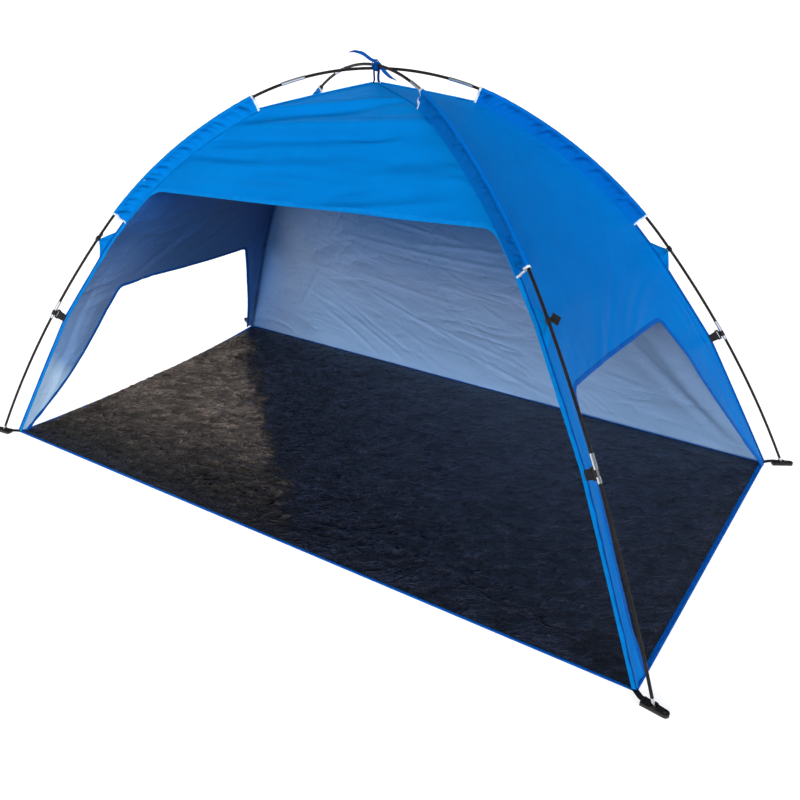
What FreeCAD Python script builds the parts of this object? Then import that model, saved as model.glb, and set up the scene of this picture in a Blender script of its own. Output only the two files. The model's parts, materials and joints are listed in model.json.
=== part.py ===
"""Beach shelter: a fabric canopy hung under two crossed, shock-corded fibreglass poles.

The origin is on the ground under the crossing of the poles.  +X runs along the open front towards
the right-hand side as seen from outside the entrance, +Y runs from the entrance to the back wall,
and +Z is up.  All lengths are millimetres.

Every leg of the shelter lies in a vertical plane through the origin.  Its pieces are modelled in
the plane y = 0, where x is the distance from the origin, and are then turned about Z to the leg.
"""
import FreeCAD, Part
import math
import os
from FreeCAD import Vector

# ---------------------------------------------------------------- driving dimensions
FLOOR_WIDTH = 2200.0
FLOOR_DEPTH = 1200.0
LEFT_EDGE_BOW = 42.0

# Both poles: crown height, then tangent arcs from the crown down to the foot.
POLE_CROWN = 1191.0
ARC_RADII = (815.0, 1472.0)
ARC_TURNS = (math.radians(27.3), math.radians(23.0))
FOOT_RADIUS = 1304.0
BALL_HEIGHT = 7.0

ROD_RADIUS = 3.95
ROD_BORE = 2.4
CORD_RADIUS = 1.5
POLE_GAP = 0.3
POLE_B_LIFT = 2 * ROD_RADIUS + POLE_GAP

# Joints between pole sections, as lengths along the pole from the crown.
SECTION_JOINTS = (235.0, 780.0, 1325.0)
FERRULE_LENGTH = 68.0
FERRULE_RADIUS = 4.85

TIP_LENGTH = 18.0
SPIGOT_LENGTH = 15.0
SPIGOT_RADIUS = ROD_BORE - 0.05
BALL_RADIUS = 4.5

# Canopy fabric hangs this far inside the poles.
RIDGE_DROP = 36.0
CORNER_INSET = 3.0
PANEL_THICKNESS = 3.0
HEM_WIDTH = 12.0
HEM_THICKNESS = 1.2

SHEET_THICKNESS = 2.0
BINDING_THICKNESS = 3.0
BINDING_WIDTH = 14.0

# Entrance: the brow is the lower edge of the front panel, a little higher on the right.
BROW_HEIGHT = 869.0
BROW_TILT = math.radians(2.4)
BROW_CORNER_RADIUS = 30.0
ENTRANCE_INSET = 10.0

# Side windows in the Y-Z plane: top corners, the y of the feet of the front and back edges, and
# how far each of the two edges bows away from the window.
WINDOWS = {
    "left": {
        "top": ((-310.0, 508.0), (342.0, 462.0)),
        "feet": (-582.0, 572.0),
        "bows": (-30.0, 18.0),
    },
    "right": {
        "top": ((-347.0, 573.0), (262.0, 551.0)),
        "feet": (-527.0, 583.0),
        "bows": (40.0, -18.0),
    },
}
WINDOW_CORNER_RADIUS = 22.0

# Pole sleeves, sewn along the ridges, from and to these lengths along the poles.
SLEEVE_SPANS = {
    "front_left": (366.0, 925.0),
    "front_right": (262.0, 850.0),
    "back_left": (405.0, 925.0),
    "back_right": (295.0, 888.0),
}
SLEEVE_BORE = 5.6
SLEEVE_WALL = 0.9
SLEEVE_FIN = 2.4
MOUTH_HEM_LENGTH = 12.0
MOUTH_HEM_EXTRA = 0.7

# Hook, clip and shoe.  Each turns on its pole with this radial clearance.
RUNNING_GAP = 0.08
HOOKS_AT = {
    "front_left": 1030.0,
    "front_right": 984.0,
    "back_left": 1010.0,
    "back_right": 1016.0,
}
HOOK_LENGTH = 12.0
HOOK_WALL = 2.4
TAB_SIDE = 22.0
TAB_THICKNESS = 3.0
GUSSET_HALF_BASE = 58.0
GUSSET_THICKNESS = 1.6
GUSSET_TIP_DROP = 8.5

CLIP_AT = 1336.0
CLIP_LENGTH = 16.0
CLIP_WALL = 3.0
CLIP_MOUTH_ANGLE = 95.0
BUCKLE_WIDTH = 32.0
BUCKLE_DEPTH = 11.0
BUCKLE_THICKNESS = 5.0
BUCKLE_SLOT = 3.4
WEBBING_WIDTH = 25.0
WEBBING_THICKNESS = 1.6
SWING_CLEARANCE = 0.8

SHOE_HEEL = 30.0
SHOE_HALF_WIDTH = 13.0
SHOE_TOE_AT = 27.0
SHOE_TOE_RADIUS = 10.0
SHOE_HEIGHT = 9.0
SHOE_BOSS_RADIUS = 11.0
SHOE_BOSS_HEIGHT = 12.0
SHOE_SLOT_AT = 21.5
SHOE_SLOT = 3.4
SHOE_SLOT_LENGTH = 17.0
STAKE_HOLE_RADIUS = 4.5
CUP_CONE_ANGLE = math.radians(31.0)
FRONT_SHOE_TURN = 18.0
FOOT_WEBBING_WIDTH = 16.0

# Tie that holds the canopy up to the crossing.
TIE_WIDTH = 10.0
TIE_THICKNESS = 1.4
TIE_SPACING = 7.0
KNOT_RADIUS = 13.0
TAIL_LENGTH = 80.0
TAIL_RISE = math.radians(38.0)

# ---------------------------------------------------------------- derived layout
LEG_ANGLE = math.degrees(math.atan2(FLOOR_DEPTH, FLOOR_WIDTH))
CORNER_RADIUS = math.hypot(FLOOR_WIDTH, FLOOR_DEPTH) / 2
UP = Vector(0, 0, 1)
ACROSS = Vector(0, 1, 0)
ORIGIN = Vector(0, 0, 0)
FAR = 3000.0

# Leg name: azimuth in degrees, and the side of its plane on which the end wall lies.
LEGS = {
    "front_left": (180 + LEG_ANGLE, -1),
    "front_right": (-LEG_ANGLE, 1),
    "back_left": (180 - LEG_ANGLE, 1),
    "back_right": (LEG_ANGLE, -1),
}
POLE_LEGS = {
    "a": {"front": "front_left", "back": "back_right"},
    "b": {"front": "front_right", "back": "back_left"},
}


class Arch:
    """Half of a symmetric arch in the plane y = 0, from its crown down to its foot.

    Two arcs of given radius and turn are followed by a third, tangent arc through the foot.
    """

    def __init__(self, crown, radii, turns, foot):
        centre = Vector(0, 0, crown - radii[0])
        lean = 0.0
        self.arcs = []
        for index, (radius, turn) in enumerate(zip(radii, turns)):
            if index:
                shift = radius - radii[index - 1]
                centre = centre - Vector(math.sin(lean), 0, math.cos(lean)) * shift
            self.arcs.append((centre, radius, lean, lean + turn))
            lean += turn
        normal = Vector(math.sin(lean), 0, math.cos(lean))
        start = centre + normal * radii[-1]
        chord = Vector(foot[0], 0, foot[1]) - start
        radius = -chord.dot(chord) / (2 * chord.dot(normal))
        centre = start - normal * radius
        end_lean = math.atan2(foot[0] - centre.x, foot[1] - centre.z)
        self.arcs.append((centre, radius, lean, end_lean))
        self.length = sum(arc[1] * (arc[3] - arc[2]) for arc in self.arcs)

    def at(self, length):
        """Point on the arch and its lean, the slope below level in radians."""
        walked = 0.0
        for centre, radius, lean, end_lean in self.arcs:
            span = radius * (end_lean - lean)
            if length <= walked + span or end_lean == self.arcs[-1][3]:
                here = lean + (length - walked) / radius
                point = centre + Vector(math.sin(here), 0, math.cos(here)) * radius
                return point, here
            walked += span

    def pieces(self, start, end):
        """Arcs between two lengths along the arch."""
        walked = 0.0
        found = []
        for index, (centre, radius, lean, end_lean) in enumerate(self.arcs):
            span = radius * (end_lean - lean)
            low = start if index == 0 else max(start, walked)
            high = end if index == len(self.arcs) - 1 else min(end, walked + span)
            if high > low:
                first = lean + (low - walked) / radius
                last = lean + (high - walked) / radius
                found.append((centre, radius, first, last))
            walked += span
        return found

    def edges(self, drop, end_extra=0.0):
        """The whole half arch moved inwards by drop, as edges from crown to foot."""
        curve = []
        for centre, radius, lean, end_lean in self.arcs:
            last = end_lean + (end_extra if end_lean == self.arcs[-1][3] else 0.0)
            leans = (lean, (lean + last) / 2, last)
            points = [centre + Vector(math.sin(a), 0, math.cos(a)) * (radius - drop) for a in leans]
            curve.append(Part.Arc(*points).toShape())
        return curve


def make_pole_arch(lift):
    return Arch(POLE_CROWN + lift, ARC_RADII, ARC_TURNS, (FOOT_RADIUS, BALL_HEIGHT))


def make_ridge_arch():
    radii = [radius - RIDGE_DROP for radius in ARC_RADII]
    foot = (CORNER_RADIUS - CORNER_INSET, BINDING_THICKNESS)
    return Arch(POLE_CROWN - RIDGE_DROP, radii, ARC_TURNS, foot)


POLES = {"a": make_pole_arch(0.0), "b": make_pole_arch(POLE_B_LIFT)}
RIDGE = make_ridge_arch()


def arch_of(leg):
    return POLES["a"] if leg in POLE_LEGS["a"].values() else POLES["b"]


def to_leg(shape, leg):
    """Turn a shape modelled in the plane y = 0 to its leg."""
    return shape.rotated(ORIGIN, UP, LEGS[leg][0])


def on_arch(shape, arch, length):
    """Move a shape with X along the pole and Z outwards to its place on the arch."""
    point, lean = arch.at(length)
    placed = shape.rotated(ORIGIN, ACROSS, math.degrees(lean))
    placed.translate(point)
    return placed


def join(shapes):
    """One solid from solids that meet face to face."""
    if len(shapes) == 1:
        return shapes[0]
    return shapes[0].multiFuse(shapes[1:]).removeSplitter()


def box(x_range, y_range, z_range):
    corner = Vector(x_range[0], y_range[0], z_range[0])
    size = [limits[1] - limits[0] for limits in (x_range, y_range, z_range)]
    return Part.makeBox(size[0], size[1], size[2], corner)


def polygon(points):
    return Part.Wire(Part.makePolygon(points + points[:1]))


# ---------------------------------------------------------------- sweeps along a pole
def sweep(profile, arch, start, end):
    """Carry a profile face along the arch.  profile(point) draws it in the plane x = point.x."""
    solids = []
    for centre, radius, first, last in arch.pieces(start, end):
        face = profile(centre + UP * radius)
        face.rotate(centre, ACROSS, math.degrees(first))
        solids.append(face.revolve(centre, ACROSS, math.degrees(last - first)))
    return join(solids)


def round_profile(outer, inner=0.0):
    def draw(point):
        along = Vector(1, 0, 0)
        wires = [Part.Wire(Part.makeCircle(outer, point, along))]
        if inner:
            wires.append(Part.Wire(Part.makeCircle(inner, point, along)))
        return Part.makeFace(wires, "Part::FaceMakerBullseye")
    return draw


def sleeve_profile(drop, extra):
    """A loop around the pole that closes into a flat fin down to the ridge."""
    def draw(point):
        loop = SLEEVE_BORE + SLEEVE_WALL + extra
        half_fin = SLEEVE_FIN / 2 + extra
        ring = Part.Face(Part.Wire(Part.makeCircle(loop, point, Vector(1, 0, 0))))
        low = point.z - drop
        fin = Part.Face(polygon([
            Vector(point.x, -half_fin, low),
            Vector(point.x, half_fin, low),
            Vector(point.x, half_fin, point.z),
            Vector(point.x, -half_fin, point.z),
        ]))
        bore = Part.Face(Part.Wire(Part.makeCircle(SLEEVE_BORE, point, Vector(1, 0, 0))))
        return ring.fuse(fin).removeSplitter().cut(bore).Faces[0]
    return draw


# ---------------------------------------------------------------- poles
def rod_ends(arch):
    """Lengths along the arch where the half pole's sections begin and end."""
    return list(SECTION_JOINTS) + [arch.length - TIP_LENGTH]


def tip_centre(arch):
    """Centre of the ball at the end of a pole, in the plane y = 0."""
    point, lean = arch.at(arch.length - TIP_LENGTH)
    return point + Vector(math.cos(lean), 0, -math.sin(lean)) * TIP_LENGTH


def make_tip(arch):
    """Steel end: a spigot in the last section's bore, a shank and a ball."""
    along = Vector(1, 0, 0)
    spigot = Part.makeCylinder(SPIGOT_RADIUS, SPIGOT_LENGTH, -along * SPIGOT_LENGTH, along)
    shank = Part.makeCylinder(ROD_RADIUS, TIP_LENGTH, ORIGIN, along)
    ball = Part.makeSphere(BALL_RADIUS, along * TIP_LENGTH)
    return on_arch(join([shank, spigot, ball]), arch, arch.length - TIP_LENGTH)


def make_cord(arch):
    """Elastic cord through the bores of all sections, from spigot to spigot."""
    end = arch.length - TIP_LENGTH - SPIGOT_LENGTH
    half = sweep(round_profile(CORD_RADIUS), arch, 0.0, end)
    return join([half, half.rotated(ORIGIN, UP, 180)])


def pole_nodes(name):
    arch = POLES[name]
    ends = rod_ends(arch)
    rod = round_profile(ROD_RADIUS, ROD_BORE)
    front = POLE_LEGS[name]["front"]
    nodes = {}
    centre = sweep(rod, arch, -SECTION_JOINTS[0], SECTION_JOINTS[0])
    nodes["centre_section"] = to_leg(centre, front)
    ferrules = []
    tips = []
    for end_name, leg in POLE_LEGS[name].items():
        for label, start, end in zip(("upper", "middle", "lower"), ends, ends[1:]):
            section = sweep(rod, arch, start, end)
            nodes["%s_section_%s" % (label, end_name)] = to_leg(section, leg)
        for at in SECTION_JOINTS:
            half = FERRULE_LENGTH / 2
            tube = sweep(round_profile(FERRULE_RADIUS, ROD_RADIUS), arch, at - half, at + half)
            ferrules.append(to_leg(tube, leg))
        tips.append(to_leg(make_tip(arch), leg))
    nodes["ferrules"] = Part.makeCompound(ferrules)
    nodes["tips"] = Part.makeCompound(tips)
    nodes["shock_cord"] = to_leg(make_cord(arch), front)
    return {"pole_%s_%s" % (name, node): shape for node, shape in nodes.items()}


# ---------------------------------------------------------------- canopy
def corner(leg, reach=1.0):
    azimuth = math.radians(LEGS[leg][0])
    return Vector(math.cos(azimuth), math.sin(azimuth), 0) * (CORNER_RADIUS * reach)


def wall_region(first, second):
    """The part of space over one wall: between two leg planes, above the floor binding."""
    outline = polygon([ORIGIN, corner(first, 1.4), corner(second, 1.4)])
    prism = Part.Face(outline).extrude(UP * (POLE_CROWN * 1.1))
    prism.translate(UP * BINDING_THICKNESS)
    return prism


def canopy_band(inner, outer):
    """Section of a canopy layer under one pole, between two depths below the ridge line."""
    past_floor = 0.01
    top = RIDGE.edges(outer, past_floor)
    bottom = RIDGE.edges(inner, past_floor)
    crown_line = Part.makeLine(top[0].Vertexes[0].Point, bottom[0].Vertexes[0].Point)
    foot_line = Part.makeLine(top[-1].Vertexes[-1].Point, bottom[-1].Vertexes[-1].Point)
    edges = Part.sortEdges(top + bottom + [crown_line, foot_line])[0]
    return Part.Face(Part.Wire(edges))


def wall_layer(first, second, direction, inner, outer):
    """A layer of cloth stretched straight across from one ridge to the next."""
    section = to_leg(canopy_band(inner, outer), first)
    section.translate(direction * -200)
    prism = section.extrude(direction * FAR)
    return prism.common(wall_region(first, second)).Solids[0]


def front_layer(inner, outer):
    return wall_layer("front_left", "front_right", Vector(1, 0, 0), inner, outer)


def side_layer(side, inner, outer):
    return wall_layer("front_" + side, "back_" + side, ACROSS, inner, outer)


def entrance_cutter(inset, brow_raise):
    """Everything in front view that is inside the ridges by inset, and under the brow."""
    halves = []
    for leg in ("front_left", "front_right"):
        curve = RIDGE.edges(inset, 0.01)
        crown = curve[0].Vertexes[0].Point
        foot = curve[-1].Vertexes[-1].Point
        low = -50.0
        sides = [
            Part.makeLine(foot, Vector(foot.x, 0, low)),
            Part.makeLine(Vector(foot.x, 0, low), Vector(0, 0, low)),
            Part.makeLine(Vector(0, 0, low), crown),
        ]
        face = to_leg(Part.Face(Part.Wire(curve + sides)), leg)
        face.translate(ACROSS * 800)
        halves.append(face.extrude(ACROSS * -2400))
    under_brow = box((-FAR, FAR), (-FAR, FAR), (-FAR, BROW_HEIGHT + brow_raise))
    under_brow.rotate(Vector(0, 0, BROW_HEIGHT), ACROSS, -math.degrees(BROW_TILT))
    opening = join(halves).common(under_brow).Solids[0]
    brow_corners = [
        edge for edge in opening.Edges
        if edge.BoundBox.YLength > 1000
        and edge.CenterOfMass.z > BROW_HEIGHT - 100
        and abs(edge.CenterOfMass.x) > 300
    ]
    return opening.makeFillet(BROW_CORNER_RADIUS + brow_raise, brow_corners)


def window_face(side):
    """Window outline at x = 0, with bowed front and back edges."""
    window = WINDOWS[side]
    front_top, back_top = [Vector(0, *point) for point in window["top"]]
    front_foot, back_foot = [Vector(0, y, -20) for y in window["feet"]]
    front_bow, back_bow = window["bows"]
    front_middle = (front_foot + front_top) / 2 - ACROSS * front_bow
    back_middle = (back_foot + back_top) / 2 + ACROSS * back_bow
    outline = Part.Wire([
        Part.makeLine(front_top, back_top),
        Part.Arc(back_top, back_middle, back_foot).toShape(),
        Part.makeLine(back_foot, front_foot),
        Part.Arc(front_foot, front_middle, front_top).toShape(),
    ])
    return Part.Face(outline)


def window_cutter(side, grow):
    """Prism through one end wall with the window's outline, made larger all round by grow."""
    reach = Vector(FAR if side == "right" else -FAR, 0, 0)
    prism = window_face(side).extrude(reach)
    top_corners = [
        edge for edge in prism.Edges
        if edge.BoundBox.XLength > 1000 and edge.CenterOfMass.z > 400
    ]
    prism = prism.makeFillet(WINDOW_CORNER_RADIUS, top_corners)
    if not grow:
        return prism
    rounded = min(prism.Faces, key=lambda face: abs(face.CenterOfMass.x))
    return rounded.makeOffset2D(grow).extrude(reach)


def canopy_nodes():
    nodes = {}
    skin = (PANEL_THICKNESS, 0.0)
    hem = (0.0, -HEM_THICKNESS)
    opening = entrance_cutter(ENTRANCE_INSET, 0.0)
    hem_area = entrance_cutter(0.5, HEM_WIDTH)
    nodes["front_panel"] = front_layer(*skin).cut(opening)
    nodes["entrance_hem"] = front_layer(*hem).common(hem_area).cut(opening)
    nodes["back_panel"] = wall_layer("back_left", "back_right", Vector(1, 0, 0), *skin)
    for side in ("left", "right"):
        window = window_cutter(side, 0.0)
        around = window_cutter(side, HEM_WIDTH)
        nodes[side + "_panel"] = side_layer(side, *skin).cut(window)
        nodes[side + "_window_hem"] = side_layer(side, *hem).common(around).cut(window)
    return nodes


# ---------------------------------------------------------------- floor
def floor_face(inset):
    """Floor outline.  The left-hand edge bows inwards."""
    half_width = FLOOR_WIDTH / 2 - inset
    half_depth = FLOOR_DEPTH / 2 - inset
    front_left = Vector(-half_width, -half_depth, 0)
    front_right = Vector(half_width, -half_depth, 0)
    back_right = Vector(half_width, half_depth, 0)
    back_left = Vector(-half_width, half_depth, 0)
    middle_left = Vector(-half_width + LEFT_EDGE_BOW, 0, 0)
    return Part.Face(Part.Wire([
        Part.makeLine(front_left, front_right),
        Part.makeLine(front_right, back_right),
        Part.makeLine(back_right, back_left),
        Part.Arc(back_left, middle_left, front_left).toShape(),
    ]))


def floor_nodes():
    sheet = floor_face(BINDING_WIDTH)
    return {
        "groundsheet": sheet.extrude(UP * SHEET_THICKNESS),
        "floor_binding": floor_face(0.0).cut(sheet).extrude(UP * BINDING_THICKNESS),
    }


# ---------------------------------------------------------------- sleeves
def sleeve_nodes():
    nodes = {}
    mouths = []
    drop = RIDGE_DROP + POLE_B_LIFT
    under_ridge = canopy_band(2 * RIDGE_DROP, 0.0).extrude(ACROSS * (8 * SLEEVE_FIN))
    under_ridge.translate(ACROSS * (-4 * SLEEVE_FIN))
    for leg, (upper_end, lower_end) in SLEEVE_SPANS.items():
        arch = arch_of(leg)
        sleeve = sweep(sleeve_profile(drop, 0.0), arch, upper_end, lower_end)
        nodes["sleeve_" + leg] = to_leg(sleeve.cut(under_ridge), leg)
        mouth = sleeve_profile(drop, MOUTH_HEM_EXTRA)
        for start in (upper_end - MOUTH_HEM_LENGTH, lower_end):
            band = sweep(mouth, arch, start, start + MOUTH_HEM_LENGTH)
            mouths.append(to_leg(band.cut(under_ridge), leg))
    nodes["sleeve_mouth_hems"] = Part.makeCompound(mouths)
    return nodes


# ---------------------------------------------------------------- hooks and clips on the poles
def make_hook(side):
    """Small plastic ring on the pole with a square tab, corner on, beside it."""
    bore = ROD_RADIUS + RUNNING_GAP
    along = Vector(1, 0, 0)
    start = -along * (HOOK_LENGTH / 2)
    ring = Part.makeCylinder(bore + HOOK_WALL, HOOK_LENGTH, start, along)
    half = TAB_SIDE / math.sqrt(2)
    middle = side * (bore + half)
    tab_outline = polygon([
        Vector(half, middle, 0),
        Vector(0, middle + half, 0),
        Vector(-half, middle, 0),
        Vector(0, middle - half, 0),
    ])
    tab = Part.Face(tab_outline).extrude(UP * TAB_THICKNESS)
    tab.translate(UP * (-TAB_THICKNESS / 2))
    hole = Part.makeCylinder(bore, 3 * HOOK_LENGTH, start * 3, along)
    return ring.fuse(tab).cut(hole).removeSplitter().Solids[0]


def make_gusset(arch, hook_at):
    """Triangle of cloth from the ridge to the hook."""
    foot_1, _ = RIDGE.at(hook_at - RIDGE_DROP / 2 - GUSSET_HALF_BASE)
    foot_2, lean = RIDGE.at(hook_at - RIDGE_DROP / 2 + GUSSET_HALF_BASE)
    lift = Vector(math.sin(lean), 0, math.cos(lean)) * 1.4
    tip, tip_lean = arch.at(hook_at)
    tip = tip - Vector(math.sin(tip_lean), 0, math.cos(tip_lean)) * GUSSET_TIP_DROP
    half = ACROSS * (GUSSET_THICKNESS / 2)
    outline = polygon([foot_1 + lift - half, foot_2 + lift - half, tip - half])
    return Part.Face(outline).extrude(ACROSS * GUSSET_THICKNESS)


def make_clip():
    """Snap-on clip: a split ring, and a buckle bar with a slot for the webbing."""
    along = Vector(1, 0, 0)
    bore = FERRULE_RADIUS + RUNNING_GAP
    outer = bore + CLIP_WALL
    start = -along * (CLIP_LENGTH / 2)
    ring = Part.makeCylinder(outer, CLIP_LENGTH, start, along)
    deepest = -(outer - 1.0 + BUCKLE_DEPTH)
    buckle = box(
        (-BUCKLE_WIDTH / 2, BUCKLE_WIDTH / 2),
        (-BUCKLE_THICKNESS / 2, BUCKLE_THICKNESS / 2),
        (deepest, -(outer - 1.0)),
    )
    uprights = [edge for edge in buckle.Edges if edge.BoundBox.YLength > 1]
    buckle = buckle.makeFillet(2.0, uprights)
    half_slot = WEBBING_WIDTH / 2 + 0.5
    slot_low = deepest + 3.2
    slot = box((-half_slot, half_slot), (-FAR, FAR), (slot_low, slot_low + BUCKLE_SLOT))
    hole = Part.makeCylinder(bore, 4 * CLIP_LENGTH, start * 4, along)
    half_mouth = math.radians(CLIP_MOUTH_ANGLE / 2)
    reach = 3 * outer
    mouth_outline = polygon([
        Vector(-CLIP_LENGTH, 0, 0),
        Vector(-CLIP_LENGTH, reach * math.sin(half_mouth), reach * math.cos(half_mouth)),
        Vector(-CLIP_LENGTH, -reach * math.sin(half_mouth), reach * math.cos(half_mouth)),
    ])
    mouth = Part.Face(mouth_outline).extrude(along * (2 * CLIP_LENGTH))
    return ring.fuse(buckle).cut(Part.makeCompound([slot, hole, mouth])).removeSplitter().Solids[0]


def clip_reach():
    """Distance from the pole's axis to the far corner of the clip's buckle."""
    deepest = FERRULE_RADIUS + RUNNING_GAP + CLIP_WALL - 1.0 + BUCKLE_DEPTH
    return math.hypot(deepest, BUCKLE_THICKNESS / 2)


def make_clip_webbing(arch):
    """Flat strap from the ridge towards the clip."""
    point, lean = arch.at(CLIP_AT)
    normal = Vector(math.sin(lean), 0, math.cos(lean))
    along = Vector(math.cos(lean), 0, -math.sin(lean))
    ridge_point, _ = RIDGE.at(CLIP_AT - RIDGE_DROP)
    gap = (point - ridge_point).dot(normal)
    near = clip_reach() + SWING_CLEARANCE
    half = ACROSS * (WEBBING_THICKNESS / 2)
    outline = polygon([
        point + along * sign * (WEBBING_WIDTH / 2) - normal * depth - half
        for sign, depth in ((1, near), (1, gap - 0.8), (-1, gap - 0.8), (-1, near))
    ])
    return Part.Face(outline).extrude(ACROSS * WEBBING_THICKNESS)


# ---------------------------------------------------------------- shoes
def make_shoe():
    """Moulded pole shoe, with the pole's ball over the origin and the toe along +X."""
    heel_half = math.asin(SHOE_HALF_WIDTH / SHOE_HEEL)
    heel_x = -SHOE_HEEL * math.cos(heel_half)
    heel_left = Vector(heel_x, SHOE_HALF_WIDTH, 0)
    heel_right = Vector(heel_x, -SHOE_HALF_WIDTH, 0)
    toe_left = Vector(SHOE_TOE_AT, SHOE_TOE_RADIUS, 0)
    toe_right = Vector(SHOE_TOE_AT, -SHOE_TOE_RADIUS, 0)
    toe_end = Vector(SHOE_TOE_AT + SHOE_TOE_RADIUS, 0, 0)
    outline = Part.Wire([
        Part.Arc(heel_left, Vector(-SHOE_HEEL, 0, 0), heel_right).toShape(),
        Part.makeLine(heel_right, toe_right),
        Part.Arc(toe_right, toe_end, toe_left).toShape(),
        Part.makeLine(toe_left, heel_left),
    ])
    plate = Part.Face(outline).extrude(UP * SHOE_HEIGHT)
    rim = [edge for edge in plate.Edges if edge.CenterOfMass.z > SHOE_HEIGHT - 0.1]
    plate = plate.makeFillet(1.5, rim)
    boss = Part.makeCylinder(SHOE_BOSS_RADIUS, SHOE_BOSS_HEIGHT)
    ball_place = UP * BALL_HEIGHT
    cup_radius = BALL_RADIUS + RUNNING_GAP
    cup = Part.makeSphere(cup_radius, ball_place)
    tangent_height = cup_radius * math.sin(CUP_CONE_ANGLE)
    cone_low = cup_radius * math.cos(CUP_CONE_ANGLE)
    cone_height = 20.0
    cone_high = cone_low + cone_height * math.tan(CUP_CONE_ANGLE)
    cone_base = ball_place - UP * tangent_height
    cone = Part.makeCone(cone_low, cone_high, cone_height, cone_base)
    stake = Part.makeCylinder(STAKE_HOLE_RADIUS, FAR, Vector(SHOE_TOE_AT, 0, -FAR / 2))
    half_slot = SHOE_SLOT_LENGTH / 2
    slot_x = (-SHOE_SLOT_AT - SHOE_SLOT / 2, -SHOE_SLOT_AT + SHOE_SLOT / 2)
    slot = box(slot_x, (-half_slot, half_slot), (-FAR, FAR))
    cuts = Part.makeCompound([cup, cone, stake, slot])
    return plate.fuse(boss).cut(cuts).removeSplitter().Solids[0]


def shoe_turn(leg):
    """Front shoes have turned towards the ends of the shelter."""
    return LEGS[leg][1] * FRONT_SHOE_TURN if leg.startswith("front") else 0.0


def make_foot_webbing(arch):
    """Flat strap from the floor corner towards the shoe."""
    centre = tip_centre(arch)
    near = centre.x - SHOE_HEEL - SWING_CLEARANCE
    far = CORNER_RADIUS - CORNER_INSET + 0.5
    half = FOOT_WEBBING_WIDTH / 2
    bottom = BINDING_THICKNESS
    return box((far, near), (-half, half), (bottom, bottom + WEBBING_THICKNESS))


def fitting_nodes():
    nodes = {}
    groups = {"hook_gussets": [], "clip_webbings": [], "foot_webbings": []}
    for leg, (_, side) in LEGS.items():
        arch = arch_of(leg)
        nodes["upper_hook_" + leg] = to_leg(on_arch(make_hook(side), arch, HOOKS_AT[leg]), leg)
        nodes["lower_clip_" + leg] = to_leg(on_arch(make_clip(), arch, CLIP_AT), leg)
        shoe = make_shoe().rotated(ORIGIN, UP, shoe_turn(leg))
        centre = tip_centre(arch)
        shoe.translate(Vector(centre.x, 0, centre.z - BALL_HEIGHT))
        nodes["pole_shoe_" + leg] = to_leg(shoe, leg)
        groups["hook_gussets"].append(to_leg(make_gusset(arch, HOOKS_AT[leg]), leg))
        groups["clip_webbings"].append(to_leg(make_clip_webbing(arch), leg))
        groups["foot_webbings"].append(to_leg(make_foot_webbing(arch), leg))
    for name, shapes in groups.items():
        nodes[name] = Part.makeCompound(shapes)
    return nodes


# ---------------------------------------------------------------- tie at the crossing
def tie_strip(length, width, thickness):
    """Flat tape along +X, centred on the X axis."""
    return box((0, length), (-width / 2, width / 2), (-thickness / 2, thickness / 2))


def tie_nodes():
    crossing = UP * (POLE_CROWN + POLE_B_LIFT / 2)
    canopy_top = POLE_CROWN - RIDGE_DROP
    pieces = [Part.makeSphere(KNOT_RADIUS, crossing)]
    for side in (-1, 1):
        middle = side * TIE_SPACING
        pieces.append(box(
            (middle - TIE_THICKNESS / 2, middle + TIE_THICKNESS / 2),
            (-TIE_WIDTH / 2, TIE_WIDTH / 2),
            (canopy_top + 0.4, crossing.z),
        ))
    left_tail = tie_strip(TAIL_LENGTH, TIE_WIDTH, TIE_THICKNESS)
    left_tail.rotate(ORIGIN, ACROSS, -math.degrees(TAIL_RISE))
    left_tail.translate(crossing + UP * ROD_RADIUS)
    right_tail = tie_strip(TAIL_LENGTH * 0.6, TIE_WIDTH, TIE_THICKNESS)
    right_tail.rotate(ORIGIN, ACROSS, math.degrees(TAIL_RISE) / 2)
    right_tail.translate(crossing + UP * (KNOT_RADIUS / 2))
    pieces.append(left_tail.rotated(crossing, UP, 180))
    pieces.append(right_tail)
    tie = pieces[0].multiFuse(pieces[1:]).removeSplitter()
    clear = round_profile(ROD_RADIUS + 0.2)
    reach = SECTION_JOINTS[0]
    rods = [
        to_leg(sweep(clear, POLES[name], -reach, reach), POLE_LEGS[name]["front"])
        for name in POLES
    ]
    solids = tie.cut(Part.makeCompound(rods)).Solids
    return {"apex_tie": max(solids, key=lambda solid: solid.Volume)}


# ---------------------------------------------------------------- build
def build():
    nodes = {}
    nodes.update(floor_nodes())
    nodes.update(canopy_nodes())
    nodes.update(sleeve_nodes())
    for name in POLES:
        nodes.update(pole_nodes(name))
    nodes.update(fitting_nodes())
    nodes.update(tie_nodes())
    return nodes


def main():
    os.makedirs("parts", exist_ok=True)
    for name, shape in build().items():
        shape.exportStep("parts/%s.step" % name)
        valid = all(solid.isValid() for solid in shape.Solids)
        print("%-32s solids %2d  volume %11.1f  valid %s" % (
            name, len(shape.Solids), shape.Volume, valid))


if __name__ == "__main__":
    main()
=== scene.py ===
"""Looks of the beach shelter: cloth, groundsheet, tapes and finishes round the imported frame.

X runs along the open front, Y towards the back wall and Z up, in metres.  The frame gives the
poles, the ridges, the floor and the joints; the cloth is built on them here.
"""
import json
import math

import bpy
import numpy as np
from mathutils import Euler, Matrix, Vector
from mathutils.geometry import delaunay_2d_cdt
from mathutils.kdtree import KDTree


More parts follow.
